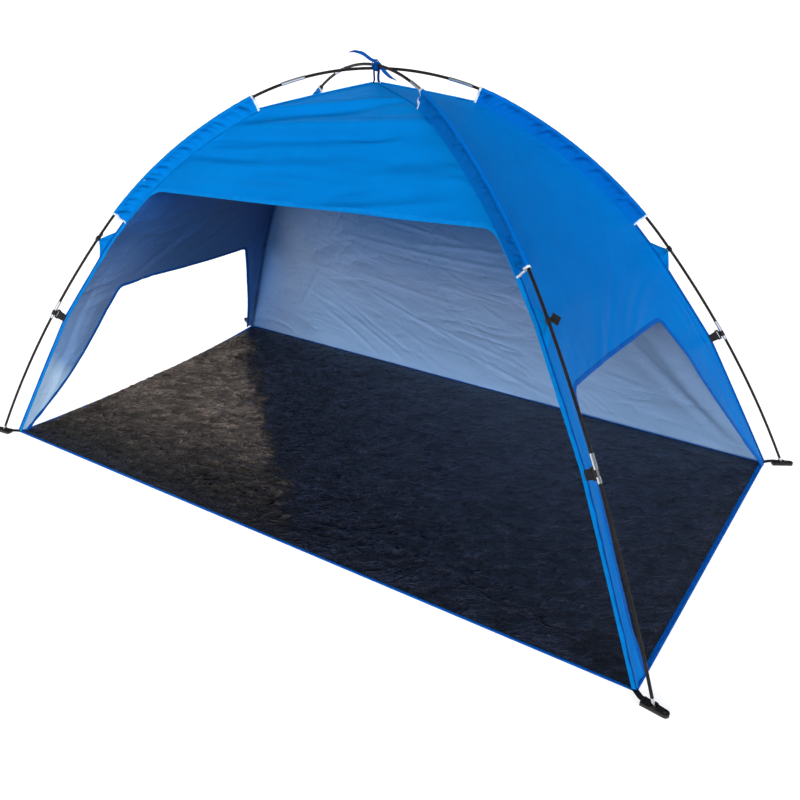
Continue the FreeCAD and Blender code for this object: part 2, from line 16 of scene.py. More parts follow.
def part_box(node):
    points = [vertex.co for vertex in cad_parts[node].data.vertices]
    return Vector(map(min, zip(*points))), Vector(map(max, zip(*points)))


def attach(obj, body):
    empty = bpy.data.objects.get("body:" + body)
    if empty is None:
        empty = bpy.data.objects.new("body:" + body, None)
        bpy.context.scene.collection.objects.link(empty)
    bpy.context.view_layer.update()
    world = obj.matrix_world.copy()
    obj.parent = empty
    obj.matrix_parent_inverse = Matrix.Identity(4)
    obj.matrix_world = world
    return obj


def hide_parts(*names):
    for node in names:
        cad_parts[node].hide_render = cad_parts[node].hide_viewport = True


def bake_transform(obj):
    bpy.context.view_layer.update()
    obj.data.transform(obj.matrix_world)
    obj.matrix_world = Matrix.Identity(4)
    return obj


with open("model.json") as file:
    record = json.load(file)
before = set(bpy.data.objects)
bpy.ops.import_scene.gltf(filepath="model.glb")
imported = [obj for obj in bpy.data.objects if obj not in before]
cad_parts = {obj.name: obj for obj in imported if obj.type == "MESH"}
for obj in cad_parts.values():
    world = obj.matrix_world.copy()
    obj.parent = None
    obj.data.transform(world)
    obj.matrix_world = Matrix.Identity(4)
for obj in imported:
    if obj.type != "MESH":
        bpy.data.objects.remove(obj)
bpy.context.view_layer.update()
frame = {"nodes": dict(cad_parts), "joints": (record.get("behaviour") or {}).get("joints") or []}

SHELTER = "shelter"

# ---------------------------------------------------------------- sizes, in metres
ARC_RADII = (0.815, 1.472)
ARC_TURNS = (math.radians(27.3), math.radians(23.0))
RIDGE_DROP = 0.036
RIDGE_TAUTNESS = 0.9
ROD_RADIUS = 0.00395

CLOTH_THICKNESS = 0.0008
HEM_WIDTH = 0.012
ENTRANCE_INSET = 0.010
BROW_HEIGHT = 0.869
BROW_TILT = math.radians(2.4)
BROW_CORNER = 0.030
WINDOW_CORNER = 0.022
WINDOWS = {
    "left": {
        "top": ((-0.310, 0.508), (0.342, 0.462)),
        "feet": (-0.582, 0.572),
        "bows": (-0.030, 0.018),
    },
    "right": {
        "top": ((-0.347, 0.573), (0.262, 0.551)),
        "feet": (-0.527, 0.583),
        "bows": (0.040, -0.018),
    },
}
WINDOW_BELOW_FLOOR = 0.020

LEFT_EDGE_BOW = 0.042
BINDING_WIDTH = 0.014
BACK_BINDING_WIDTH = 0.004
FRONT_BINDING_WIDTH = 0.007

SLEEVE_SPANS = {
    "front_left": (0.366, 0.925),
    "front_right": (0.262, 0.850),
    "back_left": (0.405, 0.925),
    "back_right": (0.295, 0.888),
}
SLEEVE_RADIUS = 0.0065
SLEEVE_SEAM = 0.0042
SLEEVE_FLARE = 0.0048
MOUTH_HEM = 0.0060
HOOKS_AT = {"front_left": 1.030, "front_right": 0.984, "back_left": 1.010, "back_right": 1.016}
CLIP_AT = 1.336
GUSSET_HALF_BASE = 0.058
GUSSET_HALF_TIP = 0.005
WEBBING = (0.025, 0.0016)
FOOT_WEBBING = (0.016, 0.0014)
SHOE_SLOT_AT = 0.0215
SHOE_TURN = math.radians(18.0)
TIE_TAPE = (0.010, 0.0009)
STITCH_PITCH = 0.0045
STITCH_LENGTH = 0.0030
THREAD_RADIUS = 0.00028
HEM_STEP = 0.005
BINDING_STEP = 0.008
STRAP_STEP = 0.0015
RIDGE_CALM = 0.022

LEG_NAMES = ("front_left", "front_right", "back_left", "back_right")
END_WALL_SIDE = {"front_left": -1, "front_right": 1, "back_left": 1, "back_right": -1}
UP = np.array([0.0, 0.0, 1.0])


# ---------------------------------------------------------------- small maths
def smooth(x):
    x = np.clip(x, 0.0, 1.0)
    return x * x * (3 - 2 * x)


def unit(vectors):
    vectors = np.asarray(vectors, float)
    return vectors / np.linalg.norm(vectors, axis=-1, keepdims=True)


def between(at, keys, rows):
    """Rows of numbers that stand at keys, interpolated at the given places."""
    return np.stack([np.interp(at, keys, column) for column in np.transpose(rows)], axis=-1)


def walked(points):
    """The distance walked along a line of points, at each of them."""
    steps = np.linalg.norm(np.diff(points, axis=0), axis=1)
    return np.concatenate([[0.0], np.cumsum(steps)])


def eased(line, rounds):
    """The line with its inner points drawn towards their neighbours, again and again."""
    for _ in range(rounds):
        line[1:-1] = (line[:-2] + 2 * line[1:-1] + line[2:]) / 4
    return line


class Noise:
    """Seeded gradient noise over the plane, about -1 to 1, with features one unit across."""

    def __init__(self, seed, cells=64):
        angles = np.random.default_rng(seed).uniform(0, 2 * np.pi, (cells, cells))
        self.x, self.y, self.cells = np.cos(angles), np.sin(angles), cells

    def __call__(self, x, y):
        x, y = np.broadcast_arrays(np.asarray(x, float), np.asarray(y, float))
        column, row = np.floor(x).astype(int), np.floor(y).astype(int)
        x, y = x - column, y - row

        def corner(i, j):
            at = (column + i) % self.cells, (row + j) % self.cells
            return self.x[at] * (x - i) + self.y[at] * (y - j)

        across = smooth(x)
        near = corner(0, 0) * (1 - across) + corner(1, 0) * across
        far = corner(0, 1) * (1 - across) + corner(1, 1) * across
        down = smooth(y)
        return 1.6 * (near * (1 - down) + far * down)


def crumple(noise, x, y, octaves=3):
    """Sharp crests and flat facets, 0 to 1, as in cloth that was packed away folded."""
    total, weight, size = 0.0, 0.0, 1.0
    for octave in range(octaves):
        crest = 1 - np.abs(noise(x / size + 7.3 * octave, y / size - 3.1 * octave))
        total = total + crest ** 3 * size
        weight += size
        size *= 0.55
    return total / weight


def crease(a, t, start, end, width, height, bow=0.0):
    """One soft ridge in a flat pattern, from start to end, that fades at both ends."""
    start, end = np.array(start), np.array(end)
    reach = np.linalg.norm(end - start)
    along = (end - start) / reach
    x = ((a - start[0]) * along[0] + (t - start[1]) * along[1]) / reach
    y = (t - start[1]) * along[0] - (a - start[0]) * along[1] - bow * 4 * x * (1 - x)
    inside = (x > 0) & (x < 1) & (np.abs(y) < 3.5 * width)
    fade = np.sin(np.pi * np.clip(x, 0, 1)) ** 0.8
    section = (1 - 0.9 * (y / width) ** 2) * np.exp(-(y / width) ** 2)
    return np.where(inside, height * fade * section, 0.0)


def creases(a, t, lines):
    return sum(crease(a, t, *line) for line in lines)


def scattered(seed, count, a_range, t_range, angles, lengths, widths, heights):
    """Seeded creases whose middles, angles in degrees and sizes lie in the given ranges."""
    random = np.random.default_rng(seed)
    lines = []
    for _ in range(count):
        middle = np.array([random.uniform(*a_range), random.uniform(*t_range)])
        angle = math.radians(random.uniform(*angles))
        half = np.array([math.cos(angle), math.sin(angle)]) * random.uniform(*lengths) / 2
        bow = random.normal(0, 0.05) * np.linalg.norm(half) * 2
        height = random.uniform(*heights) * random.choice((1, 1, -1))
        lines.append((middle - half, middle + half, random.uniform(*widths), height, bow))
    return lines


# ---------------------------------------------------------------- the frame's arches
class Arch:
    """Half of a symmetric arch in a leg's plane: three tangent arcs from crown to foot."""

    def __init__(self, crown, radii, turns, foot):
        centre = np.array([0.0, crown - radii[0]])
        lean = 0.0
        self.arcs = []
        for index, (radius, turn) in enumerate(zip(radii, turns)):
            if index:
                centre = centre - self.outwards(lean) * (radius - radii[index - 1])
            self.arcs.append((centre, radius, lean, lean + turn))
            lean += turn
        start = centre + self.outwards(lean) * radii[-1]
        chord = np.array(foot) - start
        radius = -(chord @ chord) / (2 * (chord @ self.outwards(lean)))
        centre = start - self.outwards(lean) * radius
        last = math.atan2(foot[0] - centre[0], foot[1] - centre[1])
        self.arcs.append((centre, radius, lean, last))
        self.length = sum(radius * (end - begin) for _, radius, begin, end in self.arcs)

    @staticmethod
    def outwards(lean):
        return np.stack([np.sin(lean), np.cos(lean)], axis=-1)

    def at(self, length):
        """Distances from the axis and heights as rows of two, and the leans below level."""
        length = np.atleast_1d(np.asarray(length, float))
        points = np.zeros(length.shape + (2,))
        leans = np.zeros(length.shape)
        before = 0.0
        for centre, radius, begin, end in self.arcs:
            here = length >= before if before else np.ones(length.shape, bool)
            lean = begin + (length - before) / radius
            points[here] = (centre + self.outwards(lean) * radius)[here]
            leans[here] = lean[here]
            before += radius * (end - begin)
        return points, leans


def leg_joint(kind, leg):
    return next(j for j in frame["joints"] if j["name"] == "%s_%s" % (kind, leg))


BACK_LOW, BACK_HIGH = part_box("back_panel")
FLOOR_LOW, FLOOR_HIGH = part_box("floor_binding")
RIDGE_FOOT = (math.hypot(BACK_HIGH.x, BACK_HIGH.y), BACK_LOW.z)
RIDGE = Arch(BACK_HIGH.z, [r - RIDGE_DROP for r in ARC_RADII], ARC_TURNS, RIDGE_FOOT)


class Leg:
    """One leg of the shelter: its vertical plane, its half pole and the ridge below it."""

    def __init__(self, name):
        foot = np.array(leg_joint("shoe_swivel", name)["pos_m"])
        self.pole_letter = "a" if name in ("front_left", "back_right") else "b"
        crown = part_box("pole_%s_centre_section" % self.pole_letter)[1].z - ROD_RADIUS
        self.name = name
        self.side = END_WALL_SIDE[name]
        self.radial = unit([foot[0], foot[1], 0.0])
        self.across = np.cross(UP, self.radial)
        self.foot = foot
        self.pole = Arch(crown, ARC_RADII, ARC_TURNS, (math.hypot(foot[0], foot[1]), foot[2]))
        start, end = SLEEVE_SPANS[name]
        self.sleeve = self.gap([start - MOUTH_HEM, end + MOUTH_HEM])[1]
        self.hook_at = HOOKS_AT[name]
        hook, clip = self.gap([self.hook_at, CLIP_AT])[1]
        self.straight = [(0.0, self.sleeve[0]), (self.sleeve[1], hook), (hook, clip),
                         (clip, RIDGE.length)]

    def section(self, part):
        """The name of this leg's upper, middle or lower pole section."""
        return "pole_%s_%s_section_%s" % (self.pole_letter, part, self.name.split("_")[0])

    def space(self, points, sideways=0.0):
        """Points of the leg's plane, moved sideways out of it, in space."""
        points = np.asarray(points, float)
        sideways = np.asarray(sideways, float)[..., None]
        return points[..., :1] * self.radial + points[..., 1:] * UP + sideways * self.across

    def gap(self, length):
        """How far the ridge lies inside the pole, and the ridge's length there."""
        points, leans = self.pole.at(length)
        lengths = np.linspace(0, RIDGE.length, 1600)
        ridge = RIDGE.at(lengths)[0]
        depths, places = [], []
        for point, lean in zip(points, leans):
            along = (ridge - point) @ np.array([math.cos(lean), -math.sin(lean)])
            depth = (point - ridge) @ Arch.outwards(lean)
            places.append(np.interp(0.0, along, lengths))
            depths.append(np.interp(0.0, along, depth))
        return np.array(depths), np.array(places)

    def slack(self, lengths):
        """How far inside its arc the ridge runs, as it is pulled straight between its holds."""
        lengths = np.asarray(lengths, float)
        points = RIDGE.at(lengths)[0]
        inside = np.zeros(lengths.shape)
        for start, end in self.straight:
            first, last = RIDGE.at([start, end])[0]
            run = unit(last - first)
            bulge = run[0] * (points[:, 1] - first[1]) - run[1] * (points[:, 0] - first[0])
            inside = np.where((lengths > start) & (lengths < end), bulge * RIDGE_TAUTNESS, inside)
        return inside

    def ridge(self, lengths):
        """The ridge as the cloth runs, in the leg's plane, and its leans."""
        points, leans = RIDGE.at(lengths)
        return points - Arch.outwards(leans) * self.slack(lengths)[:, None], leans


LEGS = {name: Leg(name) for name in LEG_NAMES}


# ---------------------------------------------------------------- the canopy's four walls
class Wall:
    """A canopy wall in its flat pattern: a runs across it, t from the crown to the floor.

    The cloth runs straight across from ridge to ridge, relief(wall, a, t) moves it out, and
    pulls move it with the ridges where they run straight.
    """

    def __init__(self, out, relief):
        self.out = np.array([out[0], out[1], 0.0])
        self.across = np.abs(np.cross(UP, self.out))
        self.relief = relief
        radial = np.abs(LEGS["back_right"].radial)
        lengths = np.linspace(0, RIDGE.length, 2400)
        ridge = RIDGE.at(lengths)[0]
        reach = ridge[:, 0] * (radial @ np.abs(self.out))
        self.half = ridge[:, 0] * (radial @ self.across)
        self.z = ridge[:, 1]
        steps = np.hypot(np.diff(reach), np.diff(self.z))
        self.t = np.concatenate([[0.0], np.cumsum(steps)])
        self.length = self.t[-1]
        self.middle = np.stack([reach, self.z, np.gradient(reach, self.t), np.gradient(self.z, self.t)], 1)
        legs = [leg for leg in LEGS.values() if leg.foot @ self.out > 0]
        legs.sort(key=lambda leg: leg.foot @ self.across)
        straight = [leg.space(leg.ridge(lengths)[0]) - leg.space(ridge) for leg in legs]
        self.pulls = list(zip((-1, 1), straight))

    def half_width(self, t):
        return np.interp(t, self.t, self.half)

    def from_ridge(self, a, t):
        return self.half_width(t) - np.abs(a)

    def t_at(self, z):
        return np.interp(-np.asarray(z), -self.z, self.t)

    def place(self, a, t, lift=0.0):
        """Points in space, lifted off the cloth's outer face by lift."""
        a, t = np.asarray(a, float), np.asarray(t, float)
        reach, z, reach_rate, z_rate = np.moveaxis(between(t, self.t, self.middle), -1, 0)
        moved = self.settle(a, t) + lift
        out = (reach - moved * z_rate)[..., None] * self.out
        points = a[..., None] * self.across + out + (z + moved * reach_rate)[..., None] * UP
        share = np.clip(a / np.maximum(self.half_width(t), 1e-6), -1, 1)
        for side, pull in self.pulls:
            points = points + between(t, self.t, pull) * ((1 + side * share) / 2)[..., None]
        return points

    def settle(self, a, t):
        """The relief, fading to nothing at the ridges, where the walls are sewn together."""
        return self.relief(self, a, t) * smooth(self.from_ridge(a, t) / RIDGE_CALM)

    def ridge_line(self, side, spacing):
        """The pattern's edge along one ridge, from crown to floor."""
        t = np.linspace(0, self.length, int(self.length / spacing))
        return np.stack([side * self.half_width(t), t], axis=1)


def bowed(wall, a, t, depth, fullest=0.62):
    """How far the cloth sags in between the ridges, most at fullest of its length."""
    share = t / wall.length
    down = smooth(share / fullest) * (1 - smooth((share - fullest) / (1.02 - fullest)))
    across = 1 - np.clip(np.abs(a) / np.maximum(wall.half_width(t), 1e-6), 0, 1) ** 2
    return -depth * down * across


NOISE = [Noise(seed) for seed in range(12)]

# Long waves of the front panel, as (start, end, width, height, bow).
FRONT_WAVES = [
    ((-0.62, 0.385), (0.22, 0.285), 0.032, 0.0075, 0.012),
    ((-0.50, 0.300), (0.20, 0.215), 0.030, -0.0062, -0.006),
    ((-0.45, 0.262), (0.40, 0.150), 0.031, 0.0066, 0.006),
    ((-0.36, 0.215), (0.10, 0.120), 0.028, -0.0055, 0.000),
    ((-0.60, 0.420), (0.10, 0.372), 0.024, 0.0055, -0.008),
    ((-0.08, 0.452), (0.44, 0.362), 0.020, 0.0048, 0.010),
    ((-0.20, 0.330), (0.46, 0.255), 0.036, -0.0060, 0.004),
    ((0.00, 0.300), (0.46, 0.310), 0.030, 0.0040, 0.010),
    ((-0.26, 0.165), (0.22, 0.075), 0.020, 0.0036, 0.000),
    ((-0.52, 0.345), (-0.10, 0.330), 0.020, -0.0042, 0.004),
]
# Fold lines of the back panel.
BACK_FOLDS = [
    ((-0.50, 0.765), (0.50, 0.785), 0.012, 0.0034, 0.018),
    ((-0.42, 0.800), (0.30, 0.835), 0.010, -0.0022, 0.012),
    ((-0.18, 0.765), (0.42, 0.740), 0.013, 0.0036, -0.016),
    ((-0.32, 0.665), (0.12, 0.725), 0.011, 0.0026, 0.000),
    ((-0.47, 0.925), (0.12, 1.000), 0.011, 0.0026, 0.010),
    ((-0.68, 1.130), (-0.40, 1.340), 0.016, 0.0040, -0.012),
    ((-0.63, 1.090), (-0.28, 1.335), 0.013, 0.0032, -0.010),
    ((-0.54, 1.060), (-0.22, 1.300), 0.011, -0.0026, 0.006),
    ((-0.42, 1.010), (0.08, 1.215), 0.010, 0.0030, -0.008),
    ((-0.30, 1.075), (0.30, 1.225), 0.012, 0.0026, -0.010),
    ((-0.05, 1.180), (0.40, 1.330), 0.014, 0.0032, 0.006),
    ((0.10, 0.860), (0.75, 1.060), 0.018, 0.0022, 0.010),
    ((-0.80, 1.200), (-0.60, 0.930), 0.011, 0.0020, 0.004),
    ((0.74, 0.880), (1.05, 1.300), 0.030, 0.0090, 0.012),
    ((0.66, 0.900), (1.03, 1.310), 0.026, -0.0080, 0.010),
    ((0.56, 0.900), (1.00, 1.315), 0.026, 0.0080, 0.010),
]
FRONT_RIPPLES = scattered(31, 34, (-0.5, 0.45), (0.08, 0.47), (-14, 2), (0.10, 0.38),
                          (0.009, 0.018), (0.0010, 0.0026))
FRONT_GATHERS = scattered(32, 34, (-0.62, -0.36), (0.10, 0.47), (-24, 8), (0.05, 0.16),
                          (0.006, 0.009), (0.0010, 0.0022))
BACK_CREASES = scattered(33, 150, (-0.75, 0.95), (0.45, 1.31), (4, 42), (0.06, 0.34),
                         (0.006, 0.013), (0.0005, 0.0015))
BACK_CROSSED = scattered(34, 60, (-0.8, 0.9), (0.5, 1.3), (-60, -15), (0.04, 0.16),
                         (0.006, 0.009), (0.0004, 0.0010))
END_SOFT = scattered(35, 16, (-0.4, 0.4), (0.35, 1.05), (-50, -10), (0.20, 0.55),
                     (0.018, 0.034), (0.0012, 0.0026))
END_CREASES = scattered(36, 60, (-0.42, 0.42), (0.45, 1.12), (-75, -15), (0.05, 0.18),
                        (0.006, 0.010), (0.0005, 0.0013))


def front_relief(wall, a, t):
    drift = NOISE[0](a / 0.5, t / 0.06) * 0.0014
    return (bowed(wall, a, t, 0.010, 0.36) + 2.0 * creases(a, t, FRONT_WAVES) + drift
            + 1.4 * creases(a, t, FRONT_RIPPLES) + 1.5 * creases(a, t, FRONT_GATHERS)
            + ridge_gathers(wall, a, t, NOISE[6]))


def back_relief(wall, a, t):
    held = smooth((wall.length - t) / 0.03)
    crumpled = crumple(NOISE[1], (a + 0.6 * t) / 0.16, (t - 0.3 * a) / 0.07) * 0.0016
    soft = NOISE[2](a / 0.22, t / 0.15) * 0.0030
    return held * (bowed(wall, a, t, 0.014) + creases(a, t, BACK_FOLDS) + crumpled + soft
                   + creases(a, t, BACK_CREASES) + creases(a, t, BACK_CROSSED))


def ridge_gathers(wall, a, t, noise):
    """Short wrinkles square to a ridge, where the sleeve's seam gathers the cloth."""
    from_ridge = wall.from_ridge(a, t)
    reach = 0.034 + 0.018 * noise(t / 0.11, np.sign(a) * 6.0)
    sewn = smooth((t - 0.14) / 0.08) * (1 - smooth((t - 0.86) / 0.08))
    slant = t + 0.35 * from_ridge
    fold = noise(slant / 0.019, np.sign(a) * 2.0) + 0.6 * noise(slant / 0.009, np.sign(a) * 9.0)
    return sewn * np.exp(-(from_ridge / reach) ** 2) * fold * 0.0046


def leg_curl(wall, a, t, height):
    """The front strip beside a window turns in towards the window."""
    from_ridge = wall.from_ridge(a, t)
    near = smooth((t - 0.90) / 0.30) * smooth((-a - 0.12) / 0.20)
    return -near * height * smooth(from_ridge / 0.10)


def leg_pleats(wall, a, t):
    """Lengthwise pleats in the strips of end wall between a ridge and the window."""
    from_ridge = wall.from_ridge(a, t)
    low = smooth((t - 0.95) / 0.18) * np.exp(-(from_ridge / 0.075) ** 2)
    wander = 0.012 * NOISE[3](t / 0.14, np.sign(a) * 4.0)
    across = from_ridge + wander + 3.0 * np.sign(a)
    return low * (0.0062 * NOISE[8](across / 0.030, t / 0.36) + 0.0026 * NOISE[8](across / 0.013, t / 0.22))


def end_relief(noise, seed_shift, depth, curl):
    def relief(wall, a, t):
        soft = noise(a / 0.30 + seed_shift, (t + 0.4 * a) / 0.24) * 0.0042
        crumpled = crumple(noise, (a - 0.5 * t) / 0.12, (t + 0.5 * a) / 0.08) * 0.0009
        shifted = a + seed_shift * 0.02
        return (bowed(wall, a, t, depth) + leg_pleats(wall, a, t) + soft + crumpled
                + leg_curl(wall, a, t, curl) + ridge_gathers(wall, a, t, NOISE[7])
                + creases(shifted, t, END_SOFT) + creases(shifted, t, END_CREASES))
    return relief


WALLS = {
    "front": Wall((0, -1), front_relief),
    "back": Wall((0, 1), back_relief),
    "left": Wall((-1, 0), end_relief(NOISE[4], 2.0, 0.014, 0.018)),
    "right": Wall((1, 0), end_relief(NOISE[5], 0.0, 0.030, 0.0)),
}


# ---------------------------------------------------------------- meshes
def make(name, points, faces, materials, uvs=None, sharp_degrees=None):
    """A mesh object.  uvs holds one pair for each corner of each face, in metres."""
    mesh = bpy.data.meshes.new(name)
    mesh.from_pydata(np.asarray(points).reshape(-1, 3).tolist(), [], faces)
    mesh.polygons.foreach_set("use_smooth", [True] * len(mesh.polygons))
    if uvs is not None:
        layer = mesh.uv_layers.new(name="pattern")
        layer.data.foreach_set("uv", np.asarray(uvs, np.float32).ravel())
    if sharp_degrees:
        mesh.set_sharp_from_angle(angle=math.radians(sharp_degrees))
    for material in materials if isinstance(materials, (list, tuple)) else [materials]:
        mesh.materials.append(material)
    piece = bpy.data.objects.new(name, mesh)
    bpy.context.scene.collection.objects.link(piece)
    return piece


def loft_parts(rings, closed=False):
    """Faces and corner uvs of a closed section carried along rings of points."""
    rings = np.asarray(rings, float)
    count, around = rings.shape[:2]
    along = walked(rings.mean(axis=1))
    middle_ring = rings[count // 2]
    girth = walked(np.concatenate([middle_ring, middle_ring[:1]]))
    faces, uvs = [], []
    for i in range(count if closed else count - 1):
        after = (i + 1) % count
        far = along[i + 1] if i + 1 < count else 2 * along[-1] - along[-2]
        for k in range(around):
            side = (k + 1) % around
            corners = (i * around + k, i * around + side, after * around + side, after * around + k)
            faces.append(corners)
            uvs += [(along[i], girth[k]), (along[i], girth[k + 1])]
            uvs += [(far, girth[k + 1]), (far, girth[k])]
    if not closed:
        for ring, at in ((0, 0.0), (count - 1, along[-1])):
            order = list(range(ring * around, (ring + 1) * around))
            faces.append(tuple(order if ring else reversed(order)))
            uvs += [(at, 0.0)] * around
    return rings.reshape(-1, 3), faces, uvs


def loft(name, ring_groups, material, closed=False, sharp_degrees=50):
    """One piece of one or more lofts.  Each group is an array of rings of points."""
    points, faces, uvs = [], [], []
    for rings in ring_groups:
        made, sides, corners = loft_parts(rings, closed)
        base = sum(len(p) for p in points)
        points.append(made)
        faces += [tuple(base + index for index in face) for face in sides]
        uvs += corners
    return make(name, np.concatenate(points), faces, material, uvs, sharp_degrees)


def tape_rings(middles, widths, normals, size):
    """Rings of a flat tape with rounded edges, along middles.  widths points across it."""
    half, thick = size[0] / 2, size[1] / 2
    section = [(half, 0.0), (half - thick * 0.4, thick * 0.8), (half * 0.6, thick),
               (0.0, thick), (-half * 0.6, thick), (-half + thick * 0.4, thick * 0.8)]
    section += [(-x, -y) for x, y in section]
    widths, normals = unit(widths), unit(normals)
    rings = [middles + widths * x + normals * y for x, y in section]
    return np.stack(rings, axis=1)


def lattice(outline, spacing):
    """Hexagonal lattice points inside an outline, clear of its edge."""
    low, high = outline.min(0), outline.max(0)
    ends = np.roll(outline, -1, axis=0)
    found = []
    row = 0
    y = low[1] + spacing * 0.7
    while y < high[1]:
        crossing = (outline[:, 1] > y) != (ends[:, 1] > y)
        start, end = outline[crossing], ends[crossing]
        share = (y - start[:, 1]) / (end[:, 1] - start[:, 1])
        hits = np.sort(start[:, 0] + share * (end[:, 0] - start[:, 0]))
        columns = np.arange(low[0] + (row % 2) * spacing / 2, high[0], spacing)
        for left, right in zip(hits[::2], hits[1::2]):
            inside = columns[(columns > left + spacing / 2) & (columns < right - spacing / 2)]
            found += [(x, y) for x in inside]
        row += 1
        y += spacing * math.sqrt(0.75)
    edge = KDTree(len(outline))
    for index, (x, y) in enumerate(outline):
        edge.insert((x, y, 0.0), index)
    edge.balance()
    return [p for p in found if edge.find((p[0], p[1], 0.0))[2] > spacing * 0.55]


def spaced(outline, spacing, closed=True):
    """The line again with its points about spacing apart, its own points kept."""
    outline = np.asarray(outline, float)
    ends = np.roll(outline, -1, axis=0) if closed else outline[1:]
    pieces = []
    for start, end in zip(outline, ends):
        count = max(1, round(float(np.linalg.norm(end - start)) / spacing))
        pieces.append(start + (end - start) * np.arange(count)[:, None] / count)
    if not closed:
        pieces.append(outline[-1:])
    return np.concatenate(pieces)


def flat_mesh(outline, spacing):
    """Triangles of nearly one size that fill an outline, as points and index triples."""
    outline = spaced(outline, spacing)
    points = [Vector(p) for p in outline] + [Vector(p) for p in lattice(outline, spacing)]
    made = delaunay_2d_cdt(points, [], [list(range(len(outline)))], 1, 1e-7)
    return np.array([tuple(p) for p in made[0]]), np.array([tuple(f) for f in made[2]])


def outline_area(outline):
    x, y = np.asarray(outline, float).T
    return abs(float(np.sum(x * np.roll(y, -1) - y * np.roll(x, -1)))) / 2


def cloth_sheet(name, outline, spacing, place, outwards, materials, thickness):
    """A sheet of cloth over an outline.  Its outer face lies at place(a, t)."""
    flat, triangles = flat_mesh(outline, spacing)
    points = place(flat[:, 0], flat[:, 1])
    a, b, c = (points[triangles[:, k]] for k in range(3))
    normals = np.cross(b - a, c - a).sum(axis=0)
    if normals @ outwards < 0:
        triangles = triangles[:, ::-1]
    piece = make(name, points, triangles.tolist(), materials, flat[triangles.ravel()])
    shell = piece.modifiers.new("cloth thickness", "SOLIDIFY")
    shell.thickness = thickness
    shell.offset = -1
    shell.material_offset = len(materials) - 1
    return piece


def stitches(name, lines, material):
    """Sewing thread as a row of small raised stitches along each (points, normals) line."""
    points, faces = [], []
    for middles, normals in lines:
        along = walked(middles)
        at = np.arange(STITCH_PITCH / 2, along[-1], STITCH_PITCH)
        centre, ahead, behind = (between(at + step, along, middles) for step in (0.0, 1e-3, -1e-3))
        run = unit(ahead - behind) * (STITCH_LENGTH / 2)
        up = unit(between(at, along, normals)) * THREAD_RADIUS
        side = unit(np.cross(run, up)) * THREAD_RADIUS
        for c, r, u, s in zip(centre, run, up, side):
            base = len(points)
            points += [c - r, c + u * 1.2, c + s, c - u, c - s, c + r]
            ring = (base + 1, base + 2, base + 3, base + 4)
            for k in range(4):
                faces.append((base, ring[(k + 1) % 4], ring[k]))
                faces.append((base + 5, ring[k], ring[(k + 1) % 4]))
    return make(name, points, faces, material)


# ---------------------------------------------------------------- materials
def node(tree, kind, inputs=None, **settings):
    made = tree.nodes.new("ShaderNode" + kind)
    for key, value in settings.items():
        setattr(made, key, value)
    for key, value in (inputs or {}).items():
        socket = made.inputs[key]
        if isinstance(value, bpy.types.NodeSocket):
            tree.links.new(value, socket)
        else:
            socket.default_value = value
    return made


def ranged(tree, factor, low, high, first, last):
    inputs = {"Value": factor, "From Min": first, "From Max": last, "To Min": low, "To Max": high}
    return node(tree, "MapRange", inputs).outputs["Result"]


class Finish:
    """A Principled material with helpers for procedural colour, roughness and bump."""

    def __init__(self, name, roughness=0.5, metallic=0.0, **constants):
        self.material = bpy.data.materials.new(name)
        self.material.use_nodes = True
        self.tree = self.material.node_tree
        self.shader = self.tree.nodes["Principled BSDF"]
        self.set("Roughness", roughness)
        self.set("Metallic", metallic)
        for key, value in constants.items():
            self.set(key.replace("_", " "), value)
        coordinates = node(self.tree, "TexCoord")
        self.pattern = coordinates.outputs["UV"]
        self.object = coordinates.outputs["Object"]
        self.height = None

    def set(self, socket, value):
        if isinstance(value, bpy.types.NodeSocket):
            self.tree.links.new(value, self.shader.inputs[socket])
        else:
            self.shader.inputs[socket].default_value = value

    def noise(self, scale, detail=3.0, where=None, roughness=0.55, distortion=0.0):
        inputs = {"Vector": where or self.object, "Scale": scale, "Detail": detail,
                  "Roughness": roughness, "Distortion": distortion}
        return node(self.tree, "TexNoise", inputs).outputs["Fac"]

    def ridged(self, where, detail):
        """Thin sharp crests, as in cloth or sheet that was crushed."""
        inputs = {"Vector": where, "Scale": 1.0, "Detail": detail, "Roughness": 0.55,
                  "Offset": 0.9, "Gain": 1.5, "Distortion": 0.9}
        return node(self.tree, "TexNoise", inputs, noise_type="RIDGED_MULTIFRACTAL").outputs["Fac"]

    def stretched(self, scale, where=None):
        """Coordinates scaled by a different amount along each axis."""
        return node(self.tree, "Mapping", {"Vector": where or self.object,
                                           "Scale": scale}).outputs["Vector"]

    def ramp(self, factor, stops):
        made = node(self.tree, "ValToRGB", {"Fac": factor})
        elements = made.color_ramp.elements
        while len(elements) < len(stops):
            elements.new(1.0)
        for element, (position, colour) in zip(elements, stops):
            element.position = position
            element.color = (*colour, 1.0) if len(colour) == 3 else colour
        return made.outputs["Color"]

    def axes(self):
        """X, Y and Z in the shelter's frame."""
        return node(self.tree, "SeparateXYZ", {"Vector": self.object}).outputs

    def range(self, factor, low, high, first=0.0, last=1.0):
        """From low to high as the factor goes from first to last, and level beyond."""
        return ranged(self.tree, factor, low, high, first, last)

    def waves(self, pitch, direction, where=None):
        """Threads side by side, pitch metres apart."""
        made = node(self.tree, "TexWave", {"Vector": where or self.pattern,
                                           "Scale": math.pi / (10 * pitch)},
                    wave_type="BANDS", bands_direction=direction)
        return made.outputs["Fac"]

    def maths(self, operation, first, second):
        made = node(self.tree, "Math", operation=operation)
        for socket, value in zip(made.inputs, (first, second)):
            if isinstance(value, bpy.types.NodeSocket):
                self.tree.links.new(value, socket)
            else:
                socket.default_value = value
        return made.outputs["Value"]

    def bump(self, height, strength, distance):
        inputs = {"Height": height, "Strength": strength, "Distance": distance}
        if self.height:
            inputs["Normal"] = self.height
        self.height = node(self.tree, "Bump", inputs).outputs["Normal"]
        self.set("Normal", self.height)


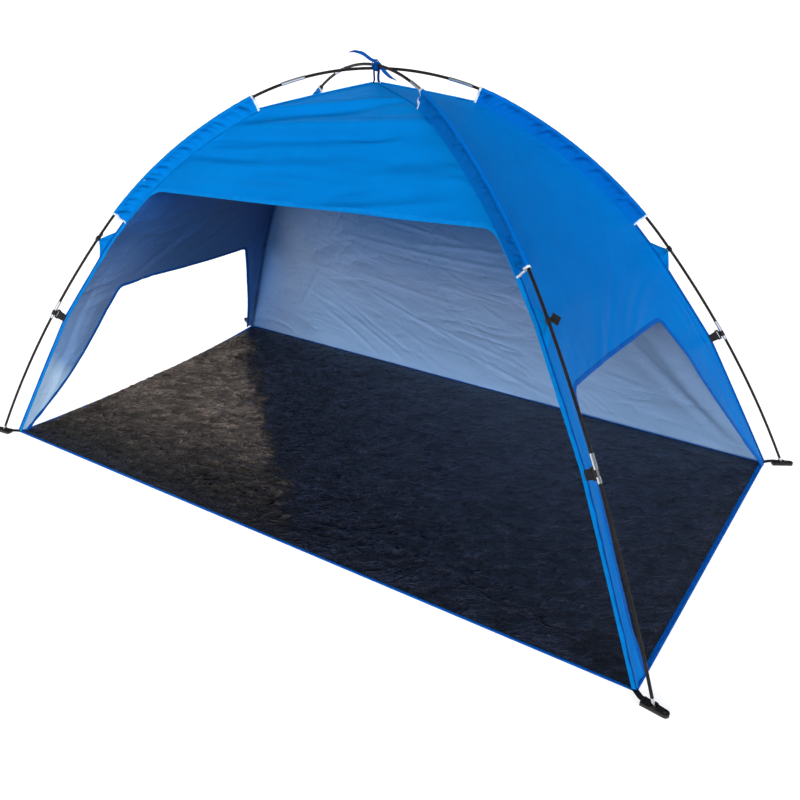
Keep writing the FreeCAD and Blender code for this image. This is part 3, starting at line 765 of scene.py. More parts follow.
WHITE = (1.0, 1.0, 1.0, 1.0)
BLUE_GLOSS = (0.08, 0.40, 1.0, 1.0)


def woven(finish, pitch, strength):
    """Plain weave from crossed threads."""
    warp = finish.waves(pitch, "X")
    weft = finish.waves(pitch, "Y")
    finish.bump(finish.maths("MULTIPLY", warp, weft), strength, pitch * 0.3)


def creased(finish, size, strength, distance):
    """Thin straight crests between flat facets, as in cloth that was stuffed in a bag."""
    warp = node(finish.tree, "TexNoise", {"Vector": finish.object, "Scale": 6.0, "Detail": 2.0})
    bent = node(finish.tree, "VectorMath", {0: warp.outputs["Color"], 1: (0.12, 0.12, 0.12)},
                operation="MULTIPLY")
    moved = node(finish.tree, "VectorMath", {0: finish.object, 1: bent.outputs["Vector"]},
                 operation="ADD").outputs["Vector"]
    for share in (1.0, 0.45):
        cells = node(finish.tree, "TexVoronoi", {"Vector": moved, "Scale": 1 / (size * share)},
                     feature="DISTANCE_TO_EDGE")
        crest = finish.range(cells.outputs["Distance"], 1.0, 0.0, 0.0, 0.10)
        breaks = finish.range(finish.noise(9.0 / share, 1.0), -0.6, 1.6)
        finish.bump(finish.maths("MULTIPLY", crest, breaks), strength, distance * share)


def canopy_outside(name, depth):
    """Blue polyester taffeta with a soft shine.  depth darkens it, which paints shade on the copy for the
    right-hand sleeves.
    """
    finish = Finish(name, 0.42, Specular_IOR_Level=0.035, Specular_Tint=BLUE_GLOSS)
    patches = finish.noise(2.2, 4.0, roughness=0.6)
    finish.set("Base Color", finish.ramp(patches, [
        (at, (0.0004, green * depth ** 2.2, blue * depth))
        for at, green, blue in ((0.30, 0.104, 0.335), (0.55, 0.121, 0.378), (0.75, 0.134, 0.408))]))
    finish.set("Roughness", finish.range(finish.noise(40.0, 2.0), 0.36, 0.50))
    finish.bump(finish.noise(55.0, 3.0, distortion=0.6), 0.25, 0.0012)
    finish.bump(finish.ridged(finish.stretched((2.4, 2.4, 3.6)), 2.0), 0.30, 0.0030)
    woven(finish, 0.0009, 0.18)
    return finish.material


def canopy_inside():
    """Silver-grey sun-blocking coat with painted shade: darker and bluer high up and in the left wall's
    back corner, and lighter on the left wall's front strip as a painted sheen.
    """
    finish = Finish("canopy_silver", 0.50, 0.22)
    x, y, z = finish.axes()
    patches = finish.maths("MULTIPLY", finish.maths("SUBTRACT", finish.noise(3.0, 4.0), 0.5), 0.20)
    endwards = finish.range(x, 0.0, 0.62, -0.70, -1.10)
    inwards = finish.range(y, -1.0, 1.0, -0.58, 0.0)
    shade = finish.maths("ADD", finish.maths("ADD", z, 0.14),
                         finish.maths("MULTIPLY", endwards, inwards))
    # Painted shade and sheen: the colour darkens with height and towards the left wall's back corner, and
    # lightens on the left wall's front strip.
    finish.set("Base Color", finish.ramp(finish.maths("ADD", shade, patches), [
        (0.00, (0.460, 0.600, 0.740)), (0.14, (0.186, 0.304, 0.512)), (0.55, (0.132, 0.206, 0.362)),
        (0.80, (0.048, 0.124, 0.300)), (1.00, (0.020, 0.128, 0.450))]))
    finish.set("Roughness", finish.range(finish.noise(18.0, 3.0), 0.44, 0.58))
    finish.bump(finish.noise(38.0, 4.0, distortion=1.2), 0.35, 0.0016)
    folds = finish.ridged(finish.stretched((3.2, 3.2, 7.0)), 3.0)
    placed = finish.range(finish.noise(2.6, 1.0), 0.15, 1.0, 0.42, 0.60)
    finish.bump(finish.maths("MULTIPLY", folds, placed), 0.8, 0.0050)
    creased(finish, 0.085, 0.55, 0.0022)
    woven(finish, 0.0009, 0.10)
    return finish.material


# The edge of the pool of light painted on the groundsheet through the left window, as x and y
# shares and a distance, and the direction of its crinkles.
LIGHT_PATCH_EDGE = (0.68, 0.73, -0.36)
CRINKLE_TURN = math.radians(33.5)


def groundsheet_finish():
    """Black laminated polyethylene with painted light: brown in a pool of light at its left end, dark navy
    elsewhere as painted shade with a painted blue cast of the canopy's light and reflection, and crests
    lightened as painted highlights.
    """
    finish = Finish("groundsheet_black", 0.34, Specular_IOR_Level=0.50)
    x, y, _ = finish.axes()
    wander = finish.maths("MULTIPLY", finish.noise(6.0, 6.0, roughness=0.75), 0.30)
    # Mask of the pool of light painted on the sheet where light falls through the left window, patchy and
    # weaker towards the front.
    inwards = finish.maths("ADD", finish.maths("MULTIPLY", x, LIGHT_PATCH_EDGE[0]),
                           finish.maths("MULTIPLY", y, LIGHT_PATCH_EDGE[1]))
    beyond = finish.maths("ADD", finish.maths("SUBTRACT", inwards, LIGHT_PATCH_EDGE[2] + 0.15), wander)
    in_light_patch = finish.range(beyond, 0.0, 1.0, 0.03, -0.03)
    deep = finish.range(y, 0.12, 1.0, -0.58, -0.10)
    uneven = finish.range(finish.noise(9.0, 5.0, roughness=0.7), 0.55, 1.45)
    tint_mask = finish.maths("MULTIPLY", finish.maths("MULTIPLY", in_light_patch, deep), uneven)
    # Painted light: brown in that pool of light, dark navy elsewhere as painted shade with a painted blue
    # cast of the canopy.
    base = finish.ramp(tint_mask, [
        (0.00, (0.0105, 0.0130, 0.0262)), (0.25, (0.020, 0.017, 0.0155)), (1.00, (0.108, 0.084, 0.070))])
    finish.set("Roughness", finish.range(finish.noise(9.0, 4.0), 0.30, 0.50))
    turned = node(finish.tree, "Mapping", {"Vector": finish.object,
                                           "Rotation": (0.0, 0.0, -CRINKLE_TURN)}).outputs["Vector"]
    calm = finish.range(inwards, 1.0, 0.45, -0.15, 0.45)
    for scale, detail, distance in (((8.5, 16.0, 16.0), 5.0, 0.0150), ((36.0, 50.0, 50.0), 3.0, 0.0050)):
        crests = finish.ridged(finish.stretched(scale, turned), detail)
        finish.bump(finish.maths("MULTIPLY", crests, calm), 1.0, distance)
        # Painted highlights: the crests are lightened in the colour.
        crest_highlight = finish.range(crests, 0.60, 1.50, 0.45, 1.45)
        base = node(finish.tree, "VectorMath", {0: base, "Scale": crest_highlight},
                    operation="SCALE").outputs["Vector"]
    finish.set("Base Color", base)
    creased(finish, 0.060, 0.70, 0.0022)
    woven(finish, 0.0024, 0.20)
    return finish.material


def tape_finish(name, dark, light, pitch=0.0016, gloss=WHITE):
    """Ribbed woven tape."""
    finish = Finish(name, 0.55, Specular_IOR_Level=0.10, Specular_Tint=gloss)
    finish.set("Base Color", finish.ramp(finish.noise(60.0, 3.0), [(0.3, dark), (0.7, light)]))
    finish.set("Roughness", finish.range(finish.noise(120.0, 2.0), 0.47, 0.65))
    finish.bump(finish.waves(pitch, "X"), 0.35, pitch * 0.25)
    finish.bump(finish.noise(300.0, 2.0), 0.15, 0.0004)
    return finish.material


def webbing_finish():
    """Black polypropylene webbing in a chevron weave."""
    finish = Finish("webbing_black", 0.60, Specular_IOR_Level=0.25)
    finish.set("Base Color", finish.ramp(finish.noise(90.0, 3.0), [
        (0.3, (0.005, 0.005, 0.006)), (0.7, (0.013, 0.013, 0.016))]))
    turned = node(finish.tree, "Mapping", {"Vector": finish.pattern,
                                           "Rotation": (0.0, 0.0, math.radians(45))})
    finish.set("Roughness", finish.range(finish.noise(150.0, 2.0), 0.50, 0.72))
    finish.bump(finish.waves(0.0018, "X", turned.outputs["Vector"]), 0.5, 0.0005)
    return finish.material


def rod_finish():
    """Pultruded glass fibre: black, with faint brown streaks along it."""
    finish = Finish("fibreglass_black", 0.34, Specular_IOR_Level=0.12)
    streaks = finish.noise(1.0, 4.0, finish.stretched((140.0, 140.0, 60.0)))
    finish.set("Base Color", finish.ramp(streaks, [
        (0.25, (0.005, 0.005, 0.005)), (0.60, (0.012, 0.010, 0.010)), (0.85, (0.024, 0.019, 0.017))]))
    finish.set("Roughness", finish.range(streaks, 0.28, 0.48))
    finish.bump(finish.noise(600.0, 2.0), 0.12, 0.0003)
    return finish.material


def ferrule_finish():
    """Plated steel with a turned grain and small scratches."""
    finish = Finish("ferrule_steel", 0.24, 1.0)
    marks = finish.noise(1.0, 5.0, finish.stretched((500.0, 500.0, 120.0)))
    finish.set("Base Color", finish.ramp(marks, [
        (0.25, (0.66, 0.68, 0.71)), (0.65, (0.88, 0.89, 0.91))]))
    finish.set("Roughness", finish.range(marks, 0.26, 0.44))
    finish.bump(marks, 0.06, 0.0002)
    return finish.material


def plastic_finish():
    """Black injection-moulded plastic with a fine spark-eroded grain, with a powdery brown film in places.
    """
    finish = Finish("fitting_black", 0.42, Specular_IOR_Level=0.35)
    tint_mask = finish.noise(70.0, 4.0)
    finish.set("Base Color", finish.ramp(tint_mask, [
        (0.35, (0.005, 0.005, 0.006)), (0.62, (0.011, 0.010, 0.010)), (0.80, (0.035, 0.029, 0.024))]))
    finish.set("Roughness", finish.range(tint_mask, 0.34, 0.58))
    finish.bump(finish.noise(1400.0, 2.0), 0.20, 0.00015)
    return finish.material


# Tapes and threads: darkest and lightest colour, and what differs from the plain tape.
TAPES = {
    "binding_blue": ((0.001, 0.062, 0.300), (0.002, 0.088, 0.380), {"gloss": BLUE_GLOSS}),
    # Darker tape for the ridge seams: painted shade of the fold along the ridge.
    "ridge_seam_painted_shade": ((0.0006, 0.036, 0.190), (0.001, 0.052, 0.250), {"gloss": BLUE_GLOSS}),
    "entrance_binding_blue": ((0.001, 0.124, 0.380), (0.001, 0.144, 0.430), {"gloss": BLUE_GLOSS}),
    "window_binding_blue": ((0.001, 0.056, 0.250), (0.001, 0.078, 0.310), {"gloss": BLUE_GLOSS}),
    "mouth_white": ((0.36, 0.40, 0.46), (0.52, 0.56, 0.62), {}),
    "tie_blue": ((0.001, 0.022, 0.120), (0.002, 0.052, 0.230), {"pitch": 0.0011, "gloss": BLUE_GLOSS}),
    "blue_thread": ((0.002, 0.110, 0.480), (0.010, 0.160, 0.600), {}),
    "black_thread": ((0.018, 0.018, 0.020), (0.050, 0.050, 0.055), {}),
}
MATERIALS = {name: tape_finish(name, dark, light, **rest) for name, (dark, light, rest) in TAPES.items()}
MATERIALS.update({
    "outside": canopy_outside("canopy_blue", 1.0),
    # A darker copy of the cloth: painted shade for the right-hand sleeves' fins.
    "sleeve_right": canopy_outside("sleeve_blue", 0.84),
    "inside": canopy_inside(),
    "ground": groundsheet_finish(),
    "webbing": webbing_finish(),
    "rod": rod_finish(),
    "steel": ferrule_finish(),
    "plastic": plastic_finish(),
})


# ---------------------------------------------------------------- putting pieces on bodies
def settle_piece(piece, slot, *nodes):
    """A piece of the shelter's own body that stands for the given CAD nodes."""
    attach(piece, SHELTER)
    if nodes:
        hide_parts(*nodes)
    return piece


def bridge(piece, leg, node_name, start, end):
    """A piece sewn to the canopy or floor and held by a leg's hook, clip or shoe.  start and end are not
    used.
    """
    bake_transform(piece)
    if leg.name == LEG_NAMES[0]:
        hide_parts(node_name)


# ---------------------------------------------------------------- canopy outlines
def rounded(points, index, radius):
    """The polyline with one corner rounded, as a parabola that touches both sides."""
    corner = points[index]
    before = corner + unit(points[index - 1] - corner) * radius
    after = corner + unit(points[index + 1] - corner) * radius
    share = np.linspace(0, 1, 9)[:, None]
    curve = before * (1 - share) ** 2 + corner * 2 * share * (1 - share) + after * share ** 2
    return np.concatenate([points[:index], curve, points[index + 1:]])


def brow_z(x):
    return BROW_HEIGHT + x * math.tan(BROW_TILT)


def entrance_path():
    """The entrance in the front wall's pattern, from the left foot round to the right foot."""
    wall = WALLS["front"]
    ridge, leans = RIDGE.at(np.linspace(RIDGE.length, 0, 260))
    inner = ridge - Arch.outwards(leans) * ENTRANCE_INSET
    x = inner[:, 0] * LEGS["front_right"].radial[0]
    sides = []
    for side in (-1, 1):
        line = np.stack([side * x, inner[:, 1]], axis=1)
        sides.append(line[(line[:, 1] > BACK_LOW.z) & (line[:, 1] < brow_z(line[:, 0]))])
    floor = [np.array([[s[0, 0] + (s[0, 0] - s[1, 0]) * 0.5, BACK_LOW.z]]) for s in sides]
    left = np.concatenate([floor[0], sides[0]])
    right = np.concatenate([floor[1], sides[1]])[::-1]
    corners = []
    for line in (left, right[::-1]):
        direction = line[-1] - line[-2]
        reach = brow_z(line[-1, 0]) - line[-1, 1]
        reach /= direction[1] - math.tan(BROW_TILT) * direction[0]
        corners.append(line[-1] + direction * reach)
    outline = np.concatenate([left, corners, right])
    turn = BROW_CORNER * 1.1
    first = len(left)
    keep = np.ones(len(outline), bool)
    for corner in (first, first + 1):
        near = np.linalg.norm(outline - outline[corner], axis=1) < turn
        near[[first, first + 1]] = False
        keep &= ~near
    first = int(keep[:first].sum())
    outline = outline[keep]
    outline = rounded(outline, first + 1, turn)
    outline = rounded(outline, first, turn)
    return np.stack([outline[:, 0], wall.t_at(outline[:, 1])], axis=1)


def window_path(side):
    """A window in its wall's pattern, from the front foot over the top to the back foot."""
    window = WINDOWS[side]
    front_top, back_top = np.array(window["top"])
    front_foot, back_foot = [np.array([y, -WINDOW_BELOW_FLOOR]) for y in window["feet"]]
    share = np.linspace(0, 1, 40)[:, None]
    bow = 4 * share * (1 - share) * np.array([1.0, 0.0])
    front = front_foot * (1 - share) + front_top * share - bow * window["bows"][0]
    back = back_top * (1 - share) + back_foot * share + bow * window["bows"][1]
    clear_front = np.linalg.norm(front - front_top, axis=1) > WINDOW_CORNER
    clear_back = np.linalg.norm(back - back_top, axis=1) > WINDOW_CORNER
    front, back = front[clear_front], back[clear_back]
    outline = np.concatenate([front, [front_top, back_top], back])
    outline = rounded(outline, len(front) + 1, WINDOW_CORNER)
    outline = rounded(outline, len(front), WINDOW_CORNER)
    outline = spaced(outline, 0.004, closed=False)
    floor = BACK_LOW.z
    above = outline[outline[:, 1] > floor]
    feet = []
    for inner, outer in ((above[0], outline[0]), (above[-1], outline[-1])):
        share = (inner[1] - floor) / (inner[1] - outer[1])
        feet.append(inner + (outer - inner) * share)
    outline = np.concatenate([feet[:1], above, feet[1:]])
    return np.stack([outline[:, 0], WALLS[side].t_at(outline[:, 1])], axis=1)


# ---------------------------------------------------------------- canopy pieces
# The length of each panel's triangles.
PANEL_SPACING = {"front": 0.0065, "back": 0.0068, "left": 0.0075, "right": 0.0072}
# A panel fills at least this share of the rectangle that it is cut from.
LEAST_CUT_SHARE = 0.31
# The hem's fold, as shares of its width and heights above the cloth.
HEM_FOLD = [(1.0, 0.0003), (0.7, 0.0008), (0.12, 0.0009), (-0.05, 0.0004), (-0.07, -0.0005),
            (-0.02, -0.0014), (0.12, -0.0018), (0.7, -0.0017), (1.0, -0.0012)]


def hem(node_name, wall, path, material):
    """A tape folded over a free edge of a wall, and the line of stitches on its outer face."""
    path = spaced(path, HEM_STEP, closed=False)
    run = np.gradient(path, axis=0)
    inwards = unit(np.stack([-run[:, 1], run[:, 0]], axis=1))
    half = len(path) // 2
    if inwards[half, 1] > 0:
        inwards = -inwards
    along = np.arange(len(path)) * HEM_STEP
    pucker = 0.0004 * NOISE[6](along / 0.02, path[half, 0])
    rings = []
    for share, lift in HEM_FOLD:
        depth = share * HEM_WIDTH * (1 + 0.06 * NOISE[7](along / 0.05, 2.0))
        at = path + inwards * depth[:, None]
        rings.append(wall.place(at[:, 0], at[:, 1], lift + pucker * abs(share)))
    for share, lift in HEM_FOLD[::-1]:
        at = path + inwards * (share * HEM_WIDTH * 0.98 + 0.0002)
        rings.append(wall.place(at[:, 0], at[:, 1], lift * 0.55 - 0.0002))
    piece = loft(node_name + "_tape", [np.stack(rings, axis=1)], material)
    at = path + inwards * (HEM_WIDTH * 0.8)
    stitch_line = wall.place(at[:, 0], at[:, 1], 0.0010 + pucker)
    settle_piece(piece, "binding_tape", node_name)
    return piece, (stitch_line, np.broadcast_to(wall.out + 0.4 * UP, stitch_line.shape))


def canopy():
    """The four panels and the hems round the entrance and the windows."""
    cloth = [MATERIALS["outside"], MATERIALS["inside"]]
    thread_lines = []
    openings = {"front": entrance_path(), "back": np.empty((0, 2)),
                "left": window_path("left"), "right": window_path("right")}
    for name, wall in WALLS.items():
        spacing = PANEL_SPACING[name]
        first = wall.ridge_line(-1, spacing)
        second = wall.ridge_line(1, spacing)[::-1][:-1]
        opening = openings[name]
        outline = np.concatenate([first, opening, second])
        panel = cloth_sheet(name + "_panel_cloth", outline, spacing, wall.place, wall.out,
                            cloth, CLOTH_THICKNESS)
        settle_piece(panel, "canopy_cloth", name + "_panel")
        area = outline_area(outline)
        width, length = 2 * wall.half[-1], wall.length
        if name == "front":
            brow_t = float(wall.t_at(brow_z(0.0)))
            width, length = 2.1 * float(wall.half_width(brow_t)), brow_t * 1.1
        elif area < LEAST_CUT_SHARE * width * length:
            width = area / (LEAST_CUT_SHARE * length)
        if len(opening):
            window = name != "front"
            hem_name = name + "_window_hem" if window else "entrance_hem"
            material = MATERIALS["window_binding_blue" if window else "entrance_binding_blue"]
            piece, line = hem(hem_name, wall, opening, material)
            thread_lines.append(line)
    return thread_lines


def ridge_seams():
    """The seam allowance along each ridge, where no sleeve covers it, and its inner flap."""
    crown, legs, inner = [], [], []
    for leg in LEGS.values():
        for start, end, groups, lift, height, thick in (
                (0.012, leg.sleeve[0], crown, 0.0012, 0.0038, 0.0014),
                (leg.sleeve[1], RIDGE.length - 0.004, legs, 0.0016, 0.0056, 0.0016),
                (0.012, RIDGE.length - 0.010, inner, -0.0045, 0.0080, 0.0010)):
            lengths = np.linspace(start, end, int((end - start) / 0.007))
            points, leans = leg.ridge(lengths)
            normals = leg.space(Arch.outwards(leans))
            bend = 0.0011 * NOISE[8](lengths / 0.035, leg.side * 3.0 + lift * 900)
            middles = leg.space(points + Arch.outwards(leans) * lift, bend)
            sides = np.broadcast_to(leg.across, middles.shape)
            groups.append(tape_rings(middles, normals, sides, (height, thick)))
    # The seams down the legs take the darker tape, painted shade of the ridge fold.
    for part, groups, material in (("crown", crown, "outside"), ("legs", legs, "ridge_seam_painted_shade"),
                                   ("inner", inner, "inside")):
        settle_piece(loft("ridge_seams_" + part, groups, MATERIALS[material]), "canopy_cloth")


# ---------------------------------------------------------------- pole sleeves
# How far below the pole's middle the sleeves' two rows of stitches run.
SLEEVE_STITCHES = (0.0150, 0.0320)


def sleeve_section(radius, fin, wall):
    """Closed section of a cloth loop round the pole, with a fin to the ridge, as (sideways, height)."""
    turns = np.radians(np.linspace(0, 128, 11))
    circle = np.stack([np.sin(turns), np.cos(turns)], axis=1) * radius
    fall = np.linspace(0.0, 1.0, 8)[1:]
    start = circle[-1]
    neck = np.array([0.0009, -radius * 1.9])
    fin_points = []
    for share in fall:
        flare = SLEEVE_FLARE * max(share - 0.8, 0.0) / 0.2
        bottom = np.array([0.0012 + flare, -fin * min(share / 0.9, 1.0)])
        early = smooth(min(share / 0.3, 1.0))
        late = max((share - 0.3) / 0.7, 0.0)
        fin_points.append((start * (1 - early) + neck * early) * (1 - late) + bottom * late)
    half = np.concatenate([circle, fin_points])
    inner = half.copy()
    inner[:11] *= (radius - wall) / radius
    inner[11:, 0] = np.maximum(inner[11:, 0] - wall, 0.0001)
    mirrored = np.array([-1.0, 1.0])
    outside = np.concatenate([half[::-1], half[1:] * mirrored])
    inside = np.concatenate([(inner[1:] * mirrored)[::-1], inner])
    return np.concatenate([outside, inside])


def sleeve_rings(leg, start, end, extra, spacing, seed):
    lengths = np.linspace(start, end, max(3, int((end - start) / spacing)))
    points, leans = leg.pole.at(lengths)
    gaps, _ = leg.gap(lengths)
    noise = NOISE[seed]
    rings = []
    for s, point, lean, gap in zip(lengths, points, leans, gaps):
        swell = 1 + 0.09 * float(noise(s / 0.018, 1.0)) + 0.05 * float(noise(s / 0.009, 5.0))
        section = sleeve_section(SLEEVE_RADIUS * swell + extra, gap + SLEEVE_SEAM, 0.0006 + extra)
        depth = np.clip(-section[:, 1] / gap, 0, 1)
        lean_out = 0.0036 * float(noise(s / 0.055, 9.0)) + 0.0024 * float(noise(s / 0.017, 3.0))
        pucker = 0.0130 * noise((s - 0.9 * section[:, 1]) / 0.018, 12.0)
        sideways = section[:, 0] + (lean_out + pucker) * np.sin(np.pi * depth) * (depth > 0)
        rings.append(leg.space(point + section[:, 1:] * Arch.outwards(lean), sideways))
    return np.array(rings)


def sleeves():
    """Cloth loops round the poles, with a pale tape hem at each mouth."""
    mouths, lines = [], []
    for index, leg in enumerate(LEGS.values()):
        upper, lower = SLEEVE_SPANS[leg.name]
        rings = sleeve_rings(leg, upper, lower, 0.0, 0.004, 8 + index)
        # The right-hand sleeves take the darker copy of the cloth, painted shade of their fins.
        cloth = "sleeve_right" if leg.name.endswith("right") else "outside"
        piece = loft("sleeve_%s_cloth" % leg.name, [rings], MATERIALS[cloth])
        settle_piece(piece, "canopy_cloth", "sleeve_" + leg.name)
        girth = 2 * float(np.mean(leg.gap([0.5])[0])) + 0.030
        [leg.section(part) for part in ("upper", "middle")]
        for start in (upper - MOUTH_HEM, lower - 0.0004):
            mouths.append(sleeve_rings(leg, start, start + MOUTH_HEM, 0.0005, 0.003, 8 + index))
        lengths = np.linspace(upper + 0.004, lower - 0.004, 150)
        points, leans = leg.pole.at(lengths)
        for side in (-1, 1):
            for depth in SLEEVE_STITCHES:
                at = points - Arch.outwards(leans) * depth
                line = leg.space(at, np.full(len(lengths), side * 0.0016))
                lines.append((line, np.broadcast_to(leg.across * side, line.shape)))
    piece = loft("sleeve_mouth_tapes", mouths, MATERIALS["mouth_white"])
    settle_piece(piece, "mouth_tape", "sleeve_mouth_hems")
    return lines


# ---------------------------------------------------------------- floor
def floor_outline(inset, back_inset):
    """The floor's edge.  The left-hand edge bows inwards."""
    x, front, back = FLOOR_HIGH.x - inset, inset - FLOOR_HIGH.y, FLOOR_HIGH.y - back_inset
    share = np.linspace(-1, 1, 25)[1:-1]
    middle, half = (front + back) / 2, (back - front) / 2
    bowed_edge = np.stack([-x + LEFT_EDGE_BOW * (1 - share ** 2), middle - half * share], axis=1)
    return np.concatenate([[(-x, front), (x, front), (x, back), (-x, back)], bowed_edge])


GROUND_SPACING = 0.0078
GROUND_THICKNESS = 0.0004
# The binding's section, as distances in from the floor's edge and heights.
BINDING_SECTION = ((0.0004, 0.0012), (0.0012, 0.0026), (0.0060, 0.0034), (0.0140, 0.0031),
                   (0.0142, 0.0014), (0.0100, 0.0003), (0.0020, 0.0002))
# Long folds of the groundsheet, as (start, end, width, height, bow).
GROUND_FOLDS = [
    ((-1.05, -0.54), (-0.20, -0.34), 0.014, 0.0060, 0.02),
    ((-1.02, -0.50), (-0.35, -0.12), 0.016, 0.0055, -0.02),
    ((-1.00, -0.56), (0.15, -0.47), 0.013, 0.0050, 0.01),
    ((-0.60, -0.42), (0.45, -0.30), 0.016, 0.0045, 0.02),
    ((-0.30, -0.52), (0.60, -0.42), 0.014, 0.0050, -0.01),
    ((0.05, -0.44), (0.95, -0.50), 0.015, 0.0045, 0.015),
    ((0.98, 0.50), (0.78, -0.05), 0.022, 0.0060, 0.03),
    ((0.92, 0.46), (0.58, 0.02), 0.018, 0.0045, -0.02),
    ((1.00, -0.52), (0.75, -0.15), 0.018, 0.0050, 0.02),
    ((-0.98, 0.52), (-0.72, 0.05), 0.016, 0.0050, 0.02),
    ((-0.98, 0.55), (-0.30, 0.38), 0.014, 0.0040, -0.02),
    ((-0.55, 0.10), (-0.50, 0.52), 0.012, 0.0040, 0.01),
]
GROUND_CREASES = scattered(41, 260, (-1.05, 0.75), (-0.56, 0.5), (-12, 50), (0.04, 0.22),
                           (0.007, 0.014), (0.0008, 0.0028))
GROUND_CROSSED = scattered(42, 150, (-1.05, 0.4), (-0.56, 0.5), (60, 150), (0.03, 0.12),
                           (0.007, 0.011), (0.0008, 0.0020))
GROUND_SPARSE = scattered(43, 70, (0.2, 1.05), (-0.55, 0.55), (-10, 40), (0.05, 0.20),
                          (0.008, 0.014), (0.0008, 0.0022))


def ground_height(x, y):
    """Crinkles of the groundsheet: rough at the left and front, calmer to the right and back."""
    rough = 0.35 + 0.65 * smooth(0.62 - 0.75 * x - 0.55 * y)
    warp = 0.03 * NOISE[9](x / 0.2, y / 0.2)
    turned = x * 0.85 + y * 0.53 + warp
    crossed = y * 0.85 - x * 0.53 + warp
    crinkle = crumple(NOISE[10], turned / 0.080, crossed / 0.036, 4) * 0.0105
    swell = (NOISE[11](x / 0.28, y / 0.20) + 0.6) * 0.0022
    lines = creases(x, y, GROUND_FOLDS)
    fine = sum(creases(x, y, group) for group in (GROUND_CREASES, GROUND_CROSSED, GROUND_SPARSE))
    high = rough * (crinkle + 1.5 * fine) + swell + lines
    edge = np.minimum(FLOOR_HIGH.x - np.abs(x), FLOOR_HIGH.y - np.abs(y))
    held = 0.15 + 0.85 * smooth((edge - 0.006) / 0.06)
    return 0.0014 + np.maximum(high, -0.0004) * held


def floor():
    """The groundsheet, laid flat, and the binding round it."""
    outline = floor_outline(BINDING_WIDTH * 0.5, BACK_BINDING_WIDTH * 0.5)

    def place(x, y):
        return np.stack([x, y, ground_height(x, y)], axis=-1)

    sheet = cloth_sheet("groundsheet_cloth", outline, GROUND_SPACING, place, UP,
                        [MATERIALS["ground"]], GROUND_THICKNESS)
    settle_piece(sheet, "groundsheet", "groundsheet")
    edge = spaced(floor_outline(0.0, 0.0), BINDING_STEP)
    run = np.roll(edge, -1, 0) - np.roll(edge, 1, 0)
    inwards = unit(np.stack([-run[:, 1], run[:, 0]], axis=1))
    along = np.arange(len(edge)) * BINDING_STEP
    share = np.ones(len(edge))
    for side, reach, width in ((1, 0.05, BACK_BINDING_WIDTH), (-1, 0.03, FRONT_BINDING_WIDTH)):
        near = smooth((side * edge[:, 1] - FLOOR_HIGH.y + reach) / reach)
        near = near * (np.abs(edge[:, 0]) < FLOOR_HIGH.x - 0.01)
        share = share - (1 - width / BINDING_WIDTH) * near
    rings = []
    for depth, z in BINDING_SECTION:
        pucker = 1 + 0.22 * NOISE[2](along / 0.022, z * 900) * (z > 0.001)
        at = edge + inwards * (depth * share * (1 + 0.05 * NOISE[3](along / 0.04, 1.0)))[:, None]
        rings.append(np.concatenate([at, (z * pucker)[:, None]], axis=1))
    binding = loft("floor_binding_tape", [np.stack(rings, axis=1)], MATERIALS["binding_blue"], closed=True)
    settle_piece(binding, "binding_tape", "floor_binding")
    at = edge + inwards * (0.011 * share)[:, None]
    line = np.concatenate([at, np.full((len(at), 1), 0.0036)], axis=1)
    return [(line, np.broadcast_to(UP, line.shape))]


# ---------------------------------------------------------------- gussets and webbings
def hook_gussets():
    """A triangle of cloth from each ridge out to its hook, pulled into soft folds."""
    for leg in LEGS.values():
        _, foot = leg.gap([leg.hook_at])
        lengths = foot[0] + np.linspace(-GUSSET_HALF_BASE, GUSSET_HALF_BASE, 25)
        base, leans = leg.ridge(lengths)
        base = base + Arch.outwards(leans) * 0.0008
        point, lean = leg.pole.at([leg.hook_at])
        along = np.array([math.cos(lean[0]), -math.sin(lean[0])])
        tip = point[0] - Arch.outwards(lean[0]) * 0.0066
        tips = tip + along * np.linspace(-GUSSET_HALF_TIP, GUSSET_HALF_TIP, 25)[:, None]
        rings = []
        spread = np.linspace(-1, 1, 25)
        for share in np.linspace(0, 1, 17):
            pull = smooth(share) * 0.35 + share * 0.65
            row = base * (1 - pull) + tips * pull
            folds = 0.0022 * np.sin(spread * 7.0 + leg.side) * math.sin(math.pi * min(share * 1.1, 1.0))
            belly = leg.side * 0.004 * math.sin(math.pi * share)
            front = leg.space(row, folds + belly + 0.0005)
            back = leg.space(row[::-1], (folds + belly)[::-1] - 0.0005)
            rings.append(np.concatenate([front, back]))
        gusset = loft("hook_gusset_" + leg.name, [np.array(rings)], MATERIALS["outside"])
        start = leg.space(RIDGE.at(foot)[0][0])
        bridge(gusset, leg, "hook_gussets", start, leg.space(tip))
        height = float(np.linalg.norm(RIDGE.at(foot)[0][0] - tip))


def strap_rings(points, widths, size):
    """Rings of a strap along a smooth path, its width turning from the first way to the last."""
    points = np.asarray(points, float)
    at = walked(points)
    even = np.linspace(0, at[-1], max(8, int(at[-1] / STRAP_STEP)))
    line = eased(between(even, at, points), 6)
    run = unit(np.gradient(line, axis=0))
    share = np.linspace(0, 1, len(line))[:, None]
    across = widths[0] * (1 - share) + widths[-1] * share
    return tape_rings(line, across, unit(np.cross(run, across)), size)


